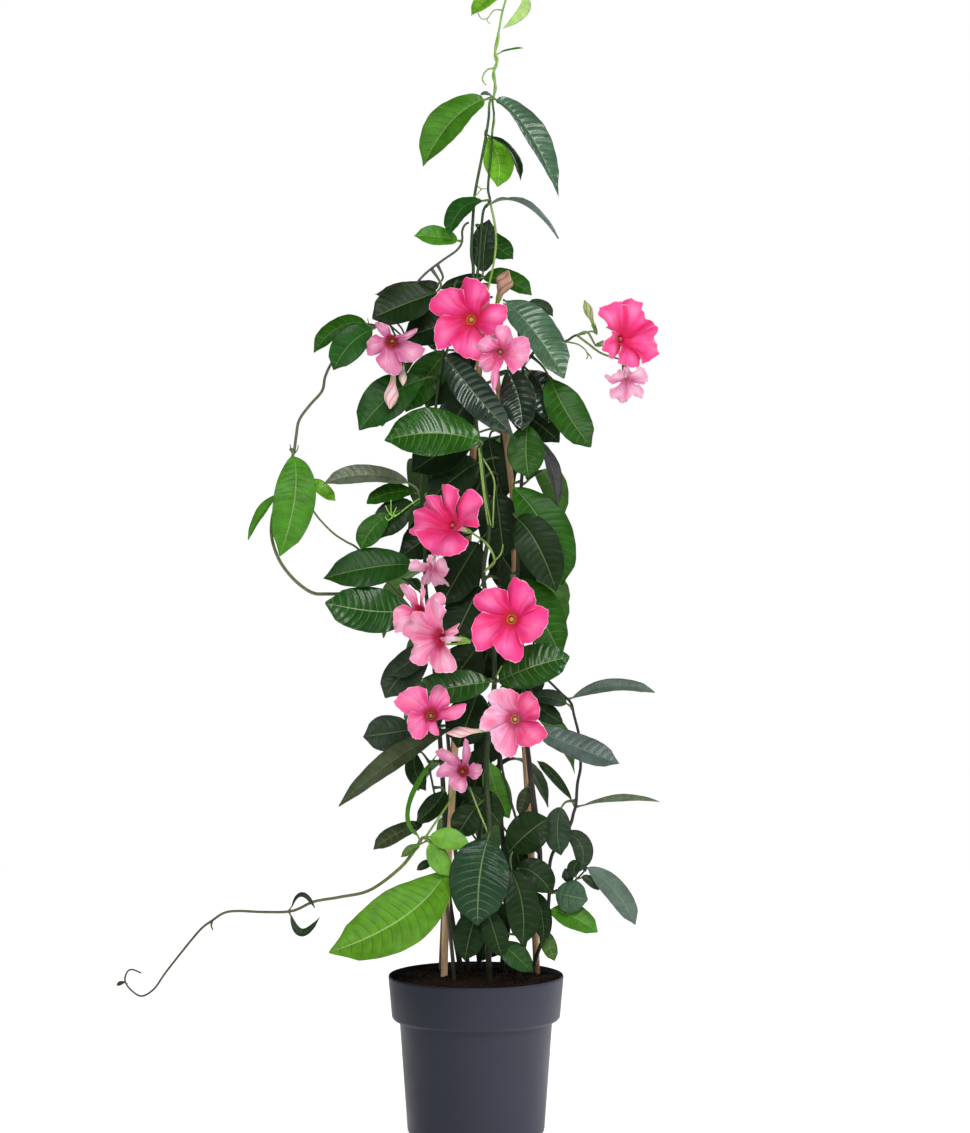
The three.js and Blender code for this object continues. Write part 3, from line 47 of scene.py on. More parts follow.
# Each stem: radii at foot and tip and the places its centre line passes through, its twigs the same way.
# bark gives its colour by height and stalk that of its thin twigs and flower stalks.
# A leaf: blade's foot, middle and tip, half width, [turn, lift] of the upper face, fold, and its tone.
stems = {
    "climber": {
        "radius": [3.4, 1.1],
        "bark": [
            [170, "#2e3020"], [450, "#2b3d1c"], [900, "#2c4422"], [1100, "#3d5a2c"], [1125, "#7fa84f"],
            [1240, "#93bf5f"],
        ],
        "stalk": "#86a650",
        "points": [
            [14, 140, -18], [14, 172, -18], [12, 245, -30], [15, 318, -40], [11, 385, -28],
            [14, 440, -26], [20, 487, -36], [17, 545, -22], [8, 600, -18], [14, 652, -26], [9, 700, -20],
            [3, 746, -28], [-6, 800, -14], [-10, 860, -2], [-3, 925, 4], [-5, 950, 2], [-3, 991, 0],
            [-1, 1014, 0], [7.5, 1058, 0], [13.4, 1092, 0], [14.6, 1111, 0], [19.4, 1119, -1],
            [20.5, 1135, 1.6], [19.4, 1147, -1.6], [23.3, 1157, 1.6], [20.5, 1168, -1.6],
            [24.8, 1189, 1.6], [28, 1207, 0], [32, 1222, 0], [35, 1238, -2],
        ],
        "twigs": [
            [[1.7, 1], [
                [-9, 880, 2], [2, 930, 10], [6, 978, 7], [8.6, 996, 3], [15, 1005, -1], [13, 1019, 0],
                [15.7, 1051, -4], [17.3, 1076, -4], [19.4, 1097, -4], [18, 1113, 2.4], [21.5, 1127, -2],
                [18, 1141, 2.2], [22.6, 1152, -1.6], [20, 1162, 1.8], [24, 1177, -1.4], [25, 1192, -1],
            ]],
            [[0.8, 0.5], [[28, 1212, 0], [20, 1211, -3], [14, 1204, -5], [12, 1200, -6], [15, 1196, -7]]],
            [[0.7, 0.5], [[13, 1202, -5], [7, 1201, -6], [4, 1204, -6], [2, 1208, -6]]],
            [[1, 0.7], [[20, 1148, 0], [13, 1147, -3], [8, 1141, -5], [7, 1135, -6], [11, 1130, -7]]],
            [[0.7, 0.5], [[-1, 1020, 0], [6, 1018, -2], [12, 1018, -1]]],
            [[0.7, 0.4], [[5, 1018, -2], [-1, 1010, -4], [-8, 1009, -5]]],
            [[0.9, 0.6], [[19, 1101, -3], [20, 1090, -6], [17, 1076, -6]]],
            [[1, 0.8], [[3, 746, -28], [4, 725, -36], [8, 690, -38], [13, 655, -28]]],
            [[1, 0.8], [[5, 744, -28], [6.5, 715, -30], [10, 685, -32], [16, 654, -28]]],
            [[1, 0.8], [[16, 735, -10], [19, 705, -24], [19, 680, -28], [18, 652, -26]]],
            [[1, 0.8], [[14, 604, -20], [20, 616, -34], [27, 624, -38], [29, 634, -40]]],
            [[1, 0.8], [[24, 489, -38], [25, 497, -46], [28, 503, -50]]],
            [[1.1, 0.8], [[15, 320, -41], [3, 346, -38], [-7, 372, -36]]],
        ],
        "leaves": [
            [[30, 1227, -2], [12, 1222, -8], [-5, 1205, -12], 11, [-10, 35], 15, "lime"],
            [[38, 1234, -3], [53, 1216, -6], [29, 1191, -10], 7, [40, 20], 20, "pale"],
            [[27, 1166, -2], [39, 1168.5, -4], [51, 1170, -6], 3, [0, 60], 20, "fresh"],
            [[17, 1118, -4], [11, 1121, -6], [5, 1119, -8], 4, [0, 50], 10, "grey"],
            [[9, 1114, -5], [-27, 1090, -16], [-57, 1042, -25], 24, [-21, 22], 22, "fresh"],
            [[22, 1114, -5], [56, 1080, -14], [89, 1010, -22], 20, [42, 12], 30, "sheen"],
            [[11, 1073, 4], [24, 1050, 1], [23, 1020, -3], 17, [8, 8], 8, "lime"],
            [[0, 221, -24], [-2, 232, -27], [-1, 244, -28], 5.5, [0, 10], 8, "pale"],
            [[16, 1074, -8], [38, 1057, -11], [48, 1027, -12], 9, [50, 45], 20, "dark"],
            [[7, 1005, -6], [-16, 995, -14], [-29, 968, -22], 15, [-20, 40], 18, "deep"],
            [[18, 1003, -5], [52, 1001, -18], [89, 964, -30], 11, [10, 78], 22, "grey"],
            [[8, 928, 13], [9, 955, 8], [14, 985, 4], 15, [-5, -5], 10, "dark"],
            [[3, 974, 14], [21, 957, 6], [40, 942, -2], 15, [20, 15], 12, "deep"],
            [[8, 921, 16], [33, 919, 8], [60, 903, 2], 16, [10, 40], 20, "mid"],
            [[8, 921, 14], [-12, 918, 14], [-39, 910, 12], 9, [0, 30], 10, "dark"],
            [[4, 746, -42], [-46, 754, -52], [-99, 746, -56], 30, [0, 28], 12, "gloss"],
            [[-32, 838, -24], [-4, 800, -38], [40, 752, -42], 19, [-28, 12], 14, "wet"],
            [[24, 486, -44], [62, 502, -52], [101, 512, -50], 25, [8, 28], 14, "deepGloss"],
            [[15, 485, -44], [-28, 479, -52], [-76, 468, -50], 21, [-5, 30], 12, "deepGloss"],
            [[13, 316, -48], [4, 275, -60], [2, 222, -62], 33, [-2, 16], 12, "wetBlue"],
            [[-8, 370, -16], [10, 352, -20], [28, 330, -22], 16, [0, 15], 12, "dark"],
            [[2, 352, -26], [-10, 336, -30], [-20, 318, -31], 17, [-10, 15], 12, "dark"],
            [[3, 242, -36], [-6, 214, -40], [-12, 184, -42], 18, [-10, 20], 12, "dark"],
            [[12, 240, -38], [20, 214, -44], [28, 188, -46], 14, [10, 20], 12, "dark"],
            [[14, 398, -10], [22, 368, -4], [36, 338, 0], 15, [10, 10], 10, "fresh"],
        ],
    },
    "looping_shoot": {
        "radius": [2.5, 1.2],
        "bark": [
            [170, "#2f2f22"], [560, "#59613f"], [700, "#5f6b45"], [830, "#5b5f45"], [900, "#575159"],
            [985, "#4b5b38"],
        ],
        "stalk": "#55523f",
        "points": [
            [-6, 140, 46], [-8, 172, 46], [-22, 300, 48], [-30, 420, 40], [-40, 520, 36], [-80, 572, 24],
            [-120, 580, 8], [-158.8, 580.3, -2], [-176, 581.4, -8], [-192.4, 592.1, -12],
            [-206.3, 607.3, -15], [-215, 622.4, -18], [-220.3, 639.7, -18], [-221, 654.8, -16],
            [-218, 672, -10], [-210, 700, -6], [-197.7, 730.4, -2], [-194.4, 749.8, 0], [-191, 768, 2],
            [-179.3, 784.5, 4], [-166.3, 799.5, 6], [-163, 814.7, 6], [-156.6, 828.7, 4], [-151, 835, 2],
            [-135, 850, 2], [-112, 867, 0], [-95, 882.7, 2], [-82, 897, 4], [-68, 911.8, 2],
            [-54, 927, 2], [-35.7, 941, 2], [-20.5, 951.8, 2], [-15, 961.5, 0], [-15, 972, -2],
            [-12, 979, -4], [-8, 981.5, -3],
        ],
        "twigs": [
            [[1.5, 0.9], [
                [-62, 556, 29], [-98, 596, 16], [-126, 627.8, 4], [-141.5, 637.5, 2], [-155.5, 647.2, 2],
                [-173.4, 666.7, 2], [-186, 690, 2], [-195, 716, 1],
            ]],
            [[0.8, 0.5], [[-198, 731, -2], [-200, 737, -4], [-201, 742, -5]]],
            [[0.8, 0.5], [[-197, 732, -2], [-193, 736, -4], [-192, 741, -5]]],
            [[0.8, 0.4], [[-112, 869, 0], [-116, 873, -4], [-117, 878, -6]]],
        ],
        "leaves": [
            [[-20, 962, -3], [-42, 966, -9], [-67, 967, -14], 13, [0, 25], 20, "fresh"],
            [[-42, 906, -2], [-78, 893, -10], [-112, 878, -16], 24, [0, 22], 14, "dark"],
            [[-40, 915, 8], [-72, 906, 5], [-109, 904, 0], 15, [0, 35], 12, "brown"],
            [[-118, 872, -6], [-148, 868, -14], [-175, 841, -18], 15, [-20, 40], 16, "mid"],
            [[-112, 866, -10], [-136, 850, -20], [-154, 822, -24], 18, [5, 10], 18, "deep"],
            [[-197, 729, -8], [-196, 683, -24], [-212, 621, -26], 23, [8, 6], 10, "fresh"],
            [[-214, 687, -14], [-231, 668, -12], [-246, 639, -8], 8, [-40, 20], 25, "fresh"],
            [[-178, 704, 4], [-166, 694, 2], [-152, 681, 0], 8, [10, 20], 10, "lime"],
        ],
    },
    "left_stem": {
        "radius": [3.2, 1.4],
        "bark": [[170, "#2b2f1c"], [700, "#2f4420"], [920, "#37502a"]],
        "stalk": "#8fc94b",
        "points": [
            [-14, 140, 30], [-16, 172, 30], [-30, 260, 28], [-36, 380, 22], [-45, 500, 20],
            [-55, 600, 18], [-52, 690, 12], [-46, 760, 14], [-36, 840, 16], [-25, 905, 14],
            [-20, 920, 14],
        ],
        "twigs": [
            [[1, 0.5], [[-52, 690, 12], [-72, 676, -2], [-90, 664, -12], [-92, 682, -16]]],
            [[0.9, 0.4], [[-88, 664, -11], [-94, 668, -15], [-98, 676, -17]]],
            [[0.9, 0.4], [[-88, 664, -11], [-88, 670, -16], [-86, 674, -18]]],
            [[0.9, 0.4], [[-86, 666, -10], [-95, 660, -14], [-98, 664, -16]]],
            [[1.5, 1], [[-38, 400, 20], [-50, 398, 8], [-47, 375, 0], [-42, 352, 2]]],
        ],
        "leaves": [
            [[-60, 812, 0], [-95, 792, -8], [-126, 757, -14], 24, [-8, 12], 12, "deep"],
            [[-32, 842, 8], [-54, 814, 6], [-76, 777, 4], 20, [0, 10], 12, "mid"],
            [[-74, 701, -4], [-120, 709, -16], [-165, 699, -28], 13, [0, 34], 18, "greyBrown"],
            [[-66, 690, 4], [-94, 689, 2], [-118, 678, 0], 13, [0, 40], 12, "mid"],
            [[-66, 676, 4], [-90, 664, 0], [-104, 640, -4], 18, [0, 10], 12, "dark"],
            [[-94, 666, 2], [-113, 649, -2], [-124, 628, -4], 14, [-10, 10], 12, "mid"],
            [[-70, 612, -4], [-112, 609, -14], [-165, 597, -18], 23, [0, 25], 12, "deep"],
            [[-70, 562, -12], [-114, 562, -24], [-163, 571, -28], 27, [0, 20], 14, "deepGloss"],
            [[-52, 524, 4], [-72, 507, -2], [-92, 493, -8], 15, [-10, 20], 12, "greyDark"],
            [[-52, 508, 10], [-78, 494, 4], [-98, 468, 0], 20, [-5, 15], 12, "greyDark"],
            [[-68, 434, -2], [-94, 430, -12], [-122, 426, -16], 21, [-5, 20], 10, "greyDark"],
            [[-30, 434, -4], [-88, 401, -24], [-148, 351, -34], 16, [-15, 45], 18, "greyOlive"],
            [[-64, 408, 2], [-66, 390, -1], [-54, 368, -4], 11, [-5, 5], 14, "dark"],
            [[-34, 368, 6], [-46, 350, -4], [-64, 334, -10], 13, [-15, 25], 12, "dark"],
            [[-58, 332, -2], [-86, 321, -14], [-111, 304, -22], 12, [-15, 40], 14, "brownOlive"],
        ],
    },
    "runner": {
        "radius": [2.3, 0.9],
        "bark": [[150, "#4a3f33"], [235, "#524b38"], [300, "#6d7d3c"], [330, "#5d6c36"]],
        "stalk": "#7d9c48",
        "points": [
            [-24, 140, -14], [-24, 172, -14], [-30, 230, -20], [-38, 290, -28], [-55, 317, -32],
            [-66, 304, -34], [-82, 284.4, -36], [-114.5, 260.6, -40], [-146.9, 253, -42],
            [-175, 248, -42], [-198.7, 237.9, -42], [-229, 236.8, -40], [-257, 237.9, -38],
            [-272.2, 235.8, -38], [-285, 227.5, -38], [-295.9, 219.6, -38], [-310, 203.4, -38],
            [-334.8, 172, -38], [-347.8, 153.7, -38], [-361.3, 146, -36], [-372.6, 152.6, -34],
            [-379.1, 162.3, -32], [-376.9, 172, -30], [-371.5, 174.8, -30], [-361.8, 171, -32],
        ],
        "twigs": [
            [[1.4, 0.6], [[-284, 228, -38], [-286, 222, -40], [-284, 217, -41]]],
        ],
        "leaves": [
            [[-33, 279, -38], [-80, 230, -60], [-159, 193, -70], 34, [-13, 20], 14, "limeBroad"],
            [[-50, 318, -38], [-30, 315, -44], [-6, 308, -46], 13, [0, 30], 18, "freshLight"],
            [[-50, 311, -38], [-41, 294, -42], [-30, 276, -44], 12, [10, 10], 15, "freshLight"],
            [[-62, 319, -34], [-71, 352, -38], [-41, 408, -32], 6, [-60, 10], 25, "fresh"],
            [[-61, 309, -37], [-70, 304, -41], [-81, 296, -43], 6, [-10, 40], 18, "olive"],
            [[-46, 292, -32], [-55, 288, -35], [-64, 282, -37], 5, [0, 30], 10, "dark"],
            [[-199, 242, -44], [-188, 255, -48], [-174, 241, -50], 4, [0, 60], 20, "greyDark"],
            [[-200, 234, -44], [-188, 214, -48], [-169, 231, -50], 5, [-10, 40], 20, "greyDark"],
            [[-379, 161, -32], [-384, 160, -34], [-388, 157, -35], 2.5, [0, 40], 10, "greyDark"],
        ],
    },
    "right_stem": {
        "radius": [3.2, 1.4],
        "bark": [[170, "#3a302d"], [500, "#33302a"], [900, "#34452a"]],
        "stalk": "#6f8a45",
        "points": [
            [44, 140, 8], [46, 172, 8], [60, 240, 2], [69, 293, -2], [62, 350, -6], [57, 400, -6],
            [52, 450, -2], [50, 520, 4], [45, 600, 8], [48, 680, 12], [52, 760, 14], [50, 830, 12],
            [42, 890, 14],
        ],
        "twigs": [
            [[1.8, 1.2], [[50, 828, 12], [70, 848, 8], [96, 853, 0], [106, 859, -4], [118, 862, -8]]],
            [[1, 0.6], [[96, 853, 0], [110, 850, -6], [118, 844, -8], [121, 838, -9], [119, 834, -10]]],
            [[0.8, 0.5], [[119, 842, -8], [123, 838, -11], [125, 834, -12]]],
            [[1.5, 1.1], [
                [66, 300, -2], [50, 318, -8], [42, 342, -8], [28, 395, -6], [30, 440, -8], [40, 470, -4],
            ]],
            [[1.6, 1.1], [
                [69, 300, -2], [70, 325, -12], [66, 342, -13], [60, 390, -14], [55, 430, -8],
                [52, 452, -2],
            ]],
        ],
        "leaves": [
            [[31, 897, -6], [64, 862, -22], [95, 813, -26], 27, [28, 22], 22, "sheen"],
            [[56, 893, 14], [70, 892, 12], [83, 880, 8], 8, [10, 30], 12, "greyDark"],
            [[34, 822, -6], [46, 792, -16], [50, 757, -20], 20, [-12, 5], 14, "wet"],
            [[58, 820, 4], [74, 796, -4], [78, 765, -8], 18, [10, 5], 12, "wet"],
            [[80, 813, 6], [98, 776, -4], [124, 739, -10], 23, [18, 12], 14, "mid"],
            [[56, 762, 0], [54, 734, -8], [57, 706, -12], 21, [-2, 15], 12, "mid"],
            [[68, 746, 4], [82, 715, 0], [88, 676, -4], 11, [46, 5], 20, "greyPurple"],
            [[41, 695, 2], [76, 647, -10], [92, 590, -14], 29, [18, 14], 14, "mid"],
            [[44, 662, -6], [66, 634, -20], [87, 583, -24], 24, [-5, 10], 12, "dark"],
            [[38, 596, -4], [66, 561, -14], [92, 513, -14], 27, [15, 10], 12, "mid"],
            [[52, 466, 4], [71, 455, -2], [94, 440, -4], 12, [0, 20], 14, "dark"],
            [[64, 434, -8], [110, 414, -20], [155, 397, -28], 18, [8, 38], 16, "greySheen"],
            [[36, 302, -18], [56, 322, -24], [78, 338, -22], 22, [0, 15], 12, "dark"],
            [[46, 284, -16], [64, 278, -24], [83, 256, -26], 17, [8, 18], 12, "dark"],
            [[38, 282, -26], [50, 244, -36], [50, 200, -38], 19, [5, 10], 14, "dark"],
            [[64, 258, -6], [71, 234, -10], [73, 204, -12], 11, [10, 8], 12, "dark"],
            [[26, 204, -44], [42, 190, -52], [61, 172, -56], 14, [5, 30], 12, "deep"],
            [[56, 372, 2], [52, 358, 0], [47, 341, -2], 8, [-15, 10], 12, "brownOlive"],
            [[72, 218, 8], [78, 202, 2], [85, 184, -2], 9, [10, 10], 10, "olive"],
        ],
    },
    "right_shoot": {
        "radius": [2.3, 1.2],
        "bark": [[170, "#33302b"], [300, "#2f2b2c"], [530, "#2d2a2e"]],
        "stalk": "#3a3f30",
        "points": [
            [58, 140, 22], [60, 172, 22], [74, 215, 14], [79, 254, 6], [79, 279, 4], [83, 300.6, 2],
            [100.4, 327.6, 0], [105.4, 343.8, 0], [108, 353.5, 0], [109.5, 375, 0], [112.9, 393.4, 2],
            [112, 415, 2], [111.2, 428, 2], [105.8, 449.6, 2], [102.6, 462.6, 2], [92.9, 472.3, 4],
            [82, 483.1, 6], [66, 500, 12], [62, 530, 16],
        ],
        "twigs": [
            [[1.5, 0.9], [[79, 256, 6], [92, 262, 0], [106, 270, -3], [120, 284, -4]]],
        ],
        "leaves": [
            [[104, 468, -2], [148, 481, -14], [193, 474, -22], 9, [0, 38], 20, "grey"],
            [[98, 462, -2], [82, 468, -8], [62, 470, -12], 10, [0, 30], 14, "greyDark"],
            [[116, 352, -4], [156, 359, -14], [198, 356, -22], 7, [0, 62], 18, "paleOlive"],
            [[103, 359, -4], [84, 384, -9], [66, 400, -12], 6, [-30, 20], 25, "dark"],
            [[92, 350, -5], [88, 326, -11], [92, 298, -15], 15, [-5, 8], 10, "greyDark"],
            [[97, 322, -4], [114, 308, -8], [113, 281, -12], 12, [12, 16], 18, "greyDark"],
            [[121, 285, -5], [151, 258, -14], [172, 223, -20], 14, [12, 28], 14, "grey"],
            [[86, 257, -6], [102, 254, -14], [121, 250, -17], 18, [0, 15], 6, "quilted"],
            [[98, 269, -4], [99, 276, -8], [96, 284, -10], 7, [0, 20], 12, "greyDark"],
            [[114, 275, -6], [124, 270, -9], [133, 260, -11], 6, [15, 25], 12, "greyDark"],
            [[108, 275, -5], [106, 284, -9], [112, 292, -11], 8, [0, 15], 12, "dark"],
            [[80, 239, -2], [106, 231, -14], [131, 215, -18], 15, [8, 30], 12, "fresh"],
        ],
    },
    "centre_stem": {
        "radius": [3, 1.4],
        "bark": [[170, "#2a2a1a"], [890, "#26371c"]],
        "stalk": "#3f5a2a",
        "points": [
            [25, 140, 38], [28, 172, 38], [32, 260, 44], [25, 380, 48], [30, 500, 44], [24, 620, 45],
            [28, 740, 43], [22, 840, 42], [14, 890, 40],
        ],
        "twigs": [],
        "leaves": [
            [[-2, 838, 6], [-30, 814, 0], [-54, 782, -4], 25, [-10, 14], 12, "shade"],
            [[2, 800, 6], [-18, 776, 0], [-34, 744, -6], 22, [-6, 10], 12, "shade"],
            [[14, 748, 30], [20, 716, 22], [30, 682, 16], 24, [5, 12], 12, "shade"],
            [[-4, 752, 0], [-36, 734, -4], [-70, 712, -8], 25, [-12, 20], 12, "shade"],
            [[2, 722, 4], [-20, 708, 0], [-50, 682, -4], 22, [-8, 14], 12, "shade"],
            [[6, 702, 6], [-10, 672, 0], [-26, 640, -4], 25, [-6, 10], 12, "shade"],
            [[22, 690, 26], [26, 656, 16], [30, 620, 10], 25, [4, 10], 12, "shade"],
            [[2, 636, 4], [-16, 606, 0], [-38, 568, -6], 25, [-8, 14], 12, "shade"],
            [[20, 634, 50], [38, 606, 48], [58, 574, 44], 25, [8, 12], 12, "shade"],
            [[4, 588, 6], [-10, 560, 0], [-26, 526, -6], 25, [-6, 12], 12, "shade"],
            [[24, 580, 26], [22, 548, 16], [16, 512, 8], 25, [0, 12], 12, "shade"],
            [[2, 524, 4], [-14, 502, -2], [-36, 474, -8], 25, [-8, 14], 12, "shade"],
            [[30, 516, 30], [48, 492, 22], [68, 466, 16], 24, [8, 14], 12, "shade"],
            [[2, 474, 4], [-8, 446, -2], [-20, 414, -8], 24, [-6, 12], 12, "shade"],
            [[26, 470, 28], [30, 440, 18], [30, 406, 14], 24, [4, 12], 12, "shade"],
            [[4, 414, 8], [0, 382, 2], [-6, 350, -4], 20, [-4, 12], 12, "shade"],
            [[12, 384, 42], [-12, 358, 38], [-30, 326, 34], 19, [-8, 12], 12, "shade"],
            [[24, 250, 38], [14, 216, 34], [6, 184, 32], 24, [-4, 12], 12, "shade"],
            [[4, 664, 26], [-34, 652, 20], [-84, 618, 14], 28, [-12, 14], 12, "shade"],
            [[-14, 882, 20], [-46, 868, 14], [-78, 858, 8], 22, [-8, 18], 12, "shade"],
            [[24, 548, 44], [12, 516, 36], [6, 480, 30], 22, [-4, 12], 12, "shade"],
            [[26, 440, 34], [16, 420, 30], [6, 396, 26], 18, [-4, 12], 12, "shade"],
            [[30, 786, 40], [62, 768, 34], [90, 744, 28], 21, [8, 14], 12, "shade"],
            [[34, 322, 40], [44, 300, 36], [50, 272, 32], 19, [8, 12], 12, "shade"],
        ],
    },
    "back_stem": {
        "radius": [3, 1.4],
        "bark": [[170, "#2d2c1c"], [900, "#2d4320"]],
        "stalk": "#3f5a2a",
        "points": [
            [4, 140, 64], [4, 172, 64], [0, 260, 70], [8, 400, 76], [-4, 520, 80], [6, 640, 78],
            [-2, 760, 72], [6, 850, 64], [8, 900, 56],
        ],
        "twigs": [],
        "leaves": [],
    },
}

# name, stem it grows on, centre, radius, [turn, lift] of its face, spin of its throat, [cut, ruffle, cup,
# unevenness], [heading, length, half width] of each lobe, flower stalk, tone
blooms = [
    ["bloom_a", "climber", [-6, 877, -50], 45, [-12, 4], 57, [0.27, 0.05, 0.1, 0.1],
        [[78, 45, 33], [141, 49, 32], [205, 47, 29], [267, 45, 36], [356, 41, 35]],
        [[15, 1003, -1], [20.5, 978, -6], [21.6, 960, -8], [19.4, 939, -10], [14, 914, -8]], "hot"],
    ["bloom_b", "looping_shoot", [-91, 853, -34], 36, [-4, -14], 31, [0.28, 0.08, 0.16, 0.35],
        [[20, 32, 13], [117, 27, 23], [189, 30, 31], [261, 36, 32], [328, 37, 29]],
        [[-96, 881, 2], [-93, 872, 2]], "paleRose"],
    ["bloom_c", "right_stem", [26, 841, -76], 38, [-4, -24], 55, [0.28, 0.15, 0.24, 0.4],
        [[73, 34, 29], [142, 27, 38], [212, 28, 30], [253, 39, 13], [356, 33, 44]],
        [[50, 836, 12], [42, 852, -10]], "rose"],
    ["bloom_d", "right_stem", [158, 856, -16], 45, [36, 5], 51, [0.2, 0.12, 0.34, 0.2],
        [[62, 43, 33], [128, 46, 31], [202, 40, 27], [271, 35, 41], [351, 43, 40]],
        [[110, 861, -5], [120, 863, -8]], "hotPlain"],
    ["bloom_d2", "right_stem", [163, 812, 14], 25, [10, -50], 16, [0.25, 0.14, 0.3, 0.3],
        [[45, 26, 39], [100, 29, 15], [143, 29, 31], [246, 29, 35], [306, 26, 28]],
        [[108, 860, -4], [122, 850, -3], [136, 840, 4]], "pale"],
    ["bloom_e", "climber", [-27, 655, -62], 41, [-30, 10], -15, [0.14, 0.13, 0.3, 0.2],
        [[28, 47, 30], [87, 42, 25], [133, 41, 23], [178, 44, 25], [261, 37, 54]],
        [[14, 606, -20], [20, 616, -32], [12, 634, -36]], "hotPlain"],
    ["bloom_e2", "left_stem", [-48, 609, -40], 25, [-24, -52], -5, [0.3, 0.1, 0.25, 0.3],
        [[21, 29, 30], [64, 29, 15], [140, 24, 53], [231, 29, 21], [278, 29, 28]],
        [[-54, 608, 18], [-48, 622, 0]], "pale"],
    ["bloom_f1", "left_stem", [-60, 561, -46], 34, [-16, 12], -9, [0.34, 0.1, 0.2, 0.35],
        [[18, 32, 32], [83, 29, 12], [120, 39, 18], [200, 34, 36], [293, 30, 37]],
        [[-51, 560, 19], [-54, 558, 6]], "palePink"],
    ["bloom_f2", "left_stem", [-38, 533, -80], 41, [-42, 4], 0, [0.25, 0.1, 0.34, 0.3],
        [[14, 38, 16], [85, 44, 28], [154, 46, 30], [212, 39, 31], [296, 44, 30]],
        [[-46, 528, 19], [-30, 526, -2], [-8, 528, -34]], "palePink"],
    ["bloom_g", "climber", [38, 553, -76], 45, [-8, 2], 50, [0.28, 0.05, 0.1, 0.1],
        [[64, 44, 34], [134, 46, 32], [203, 49, 32], [263, 46, 30], [345, 40, 43]],
        [[17, 548, -22], [28, 550, -28]], "hot"],
    ["bloom_h", "left_stem", [-49, 449, -76], 36, [0, 12], -13, [0.27, 0.08, 0.16, 0.45],
        [[4, 39, 22], [60, 34, 30], [139, 41, 34], [215, 30, 38], [277, 22, 25]],
        [[-40, 450, 20], [-46, 446, 0], [-50, 445, -26]], "mid"],
    ["bloom_i", "right_stem", [42, 445, -78], 39, [-6, 4], 26, [0.25, 0.06, 0.12, 0.2],
        [[40, 33, 38], [117, 39, 32], [177, 38, 30], [244, 41, 32], [314, 38, 34]],
        [[52, 446, -2], [46, 444, -22]], "split"],
    ["bloom_j", "runner", [-14, 389, -60], 30, [10, 22], 43, [0.28, 0.08, 0.18, 0.4],
        [[75, 35, 15], [132, 36, 19], [176, 30, 25], [241, 25, 37], [352, 21, 37]],
        [[-53, 318, -32], [-36, 345, -28], [-25, 362, -22]], "paleRose"],
]

# name, stem it grows on, foot, tip, widest radius, stalk, tone
buds = [
    ["bud_b", "looping_shoot", [-89, 819, -14], [-93, 780, -26], 8,
        [[-96, 881, 2], [-78, 862, 2], [-84, 836, -4]], "creamPink"],
    ["bud_b2", "looping_shoot", [-79, 829, -8], [-79, 805, -14], 4.5,
        [[-90, 868, 2], [-74, 852, 2], [-78, 838, -2]], "cream"],
    ["bud_i", "climber", [8, 433, -48], [-32, 430, -56], 6,
        [[14, 440, -27], [15, 434, -40]], "creamPink"],
    ["withered_bloom", "right_stem", [23, 895, -34], [35, 930, -38], 9,
        [[44, 884, 14], [30, 880, -8], [22, 884, -28]], "withered"],
    ["bud_d", "right_stem", [128, 868, -10], [117, 898, -16], 5,
        [[116, 862, -8], [125, 864, -9]], "greenBud"],
]

# What each repeatable draw is for: first those of a leaf, then those of a petal lobe
draws = {"phase": 1, "length": 2, "sag": 3, "heading": 4, "light": 5, "warmth": 6, "coolness": 7, "kind": 8,
         "lean": 1, "drift": 2}


def vary(index, draw):
    # a repeatable draw between 0 and 1: what is left of a steep sine after its whole number is taken off
    wild = math.sin(index * 12.9898 + draw * 78.233) * 43758.5453
    return wild - math.floor(wild)


def unit(v):
    # vectors divided by their lengths
    return v / np.maximum(np.linalg.norm(v, axis=-1, keepdims=True), 1e-9)


def dot(a, b):
    # sum of the products of the components
    return np.sum(a * b, axis=-1, keepdims=True)


def at(places):
    # a seen place moves away from the eye's axis in proportion to its distance from the eye
    p = np.asarray(places, float).reshape(-1, 3)
    spread = 1 + p[:, 2] / eye["distance"]
    x = eye["x"] + (p[:, 0] - eye["x"]) * spread
    z = eye["z"] + (p[:, 1] - eye["z"]) * spread
    return np.stack([x, p[:, 2], z], axis=1)


def facing(turnLift):
    # direction turned right and tilted up from straight at the viewer
    turn, lift = np.radians(turnLift)
    return np.array([math.sin(turn) * math.cos(lift), -math.cos(turn) * math.cos(lift), math.sin(lift)])


def linear(hexColour):
    # sRGB hex to linear light
    c = np.array([int(hexColour[i:i + 2], 16) for i in (1, 3, 5)]) / 255
    return np.where(c <= 0.04045, c / 12.92, ((c + 0.055) / 1.055) ** 2.4)


def rgba(hexColour):
    # linear light with full opacity
    return (*linear(hexColour), 1.0)


def ramp(x, low, high):
    # smooth step from 0 at low to 1 at high
    t = np.clip((x - low) / (high - low), 0, 1)
    return t * t * (3 - 2 * t)


def bell(x, middle, width):
    # bell curve of x: 1 at the middle and 0.37 a width away from it
    return np.exp(-(((x - middle) / width) ** 2))


def between(span, share):
    # from the first to the second value of a span
    return span[0] + (span[1] - span[0]) * share


def blendTo(a, b, share):
    # from a to b by share, which may differ from point to point
    return a + (b - a) * np.asarray(share)[..., None]


# Meshes: a part is points, faces and attributes; a piece is a mesh of several parts

def volumeOf(points, triangles):
    # sum of the tetrahedra between the origin and each triangle
    a, b, c = (points[triangles[:, k]] for k in range(3))
    return np.sum(a * np.cross(b, c)) / 6


def closedPart(points, quads, tris=None, **attributes):
    # a closed surface, its faces turned outwards
    quads = np.asarray(quads, int).reshape(-1, 4)
    tris = np.zeros((0, 3), int) if tris is None else np.asarray(tris, int).reshape(-1, 3)
    allTris = np.vstack([quads[:, [0, 1, 2]], quads[:, [0, 2, 3]], tris])
    if volumeOf(points - points.mean(axis=0), allTris) < 0:
        quads, tris = quads[:, ::-1], tris[:, ::-1]
    return {"points": points, "quads": quads, "tris": tris, "attributes": attributes}


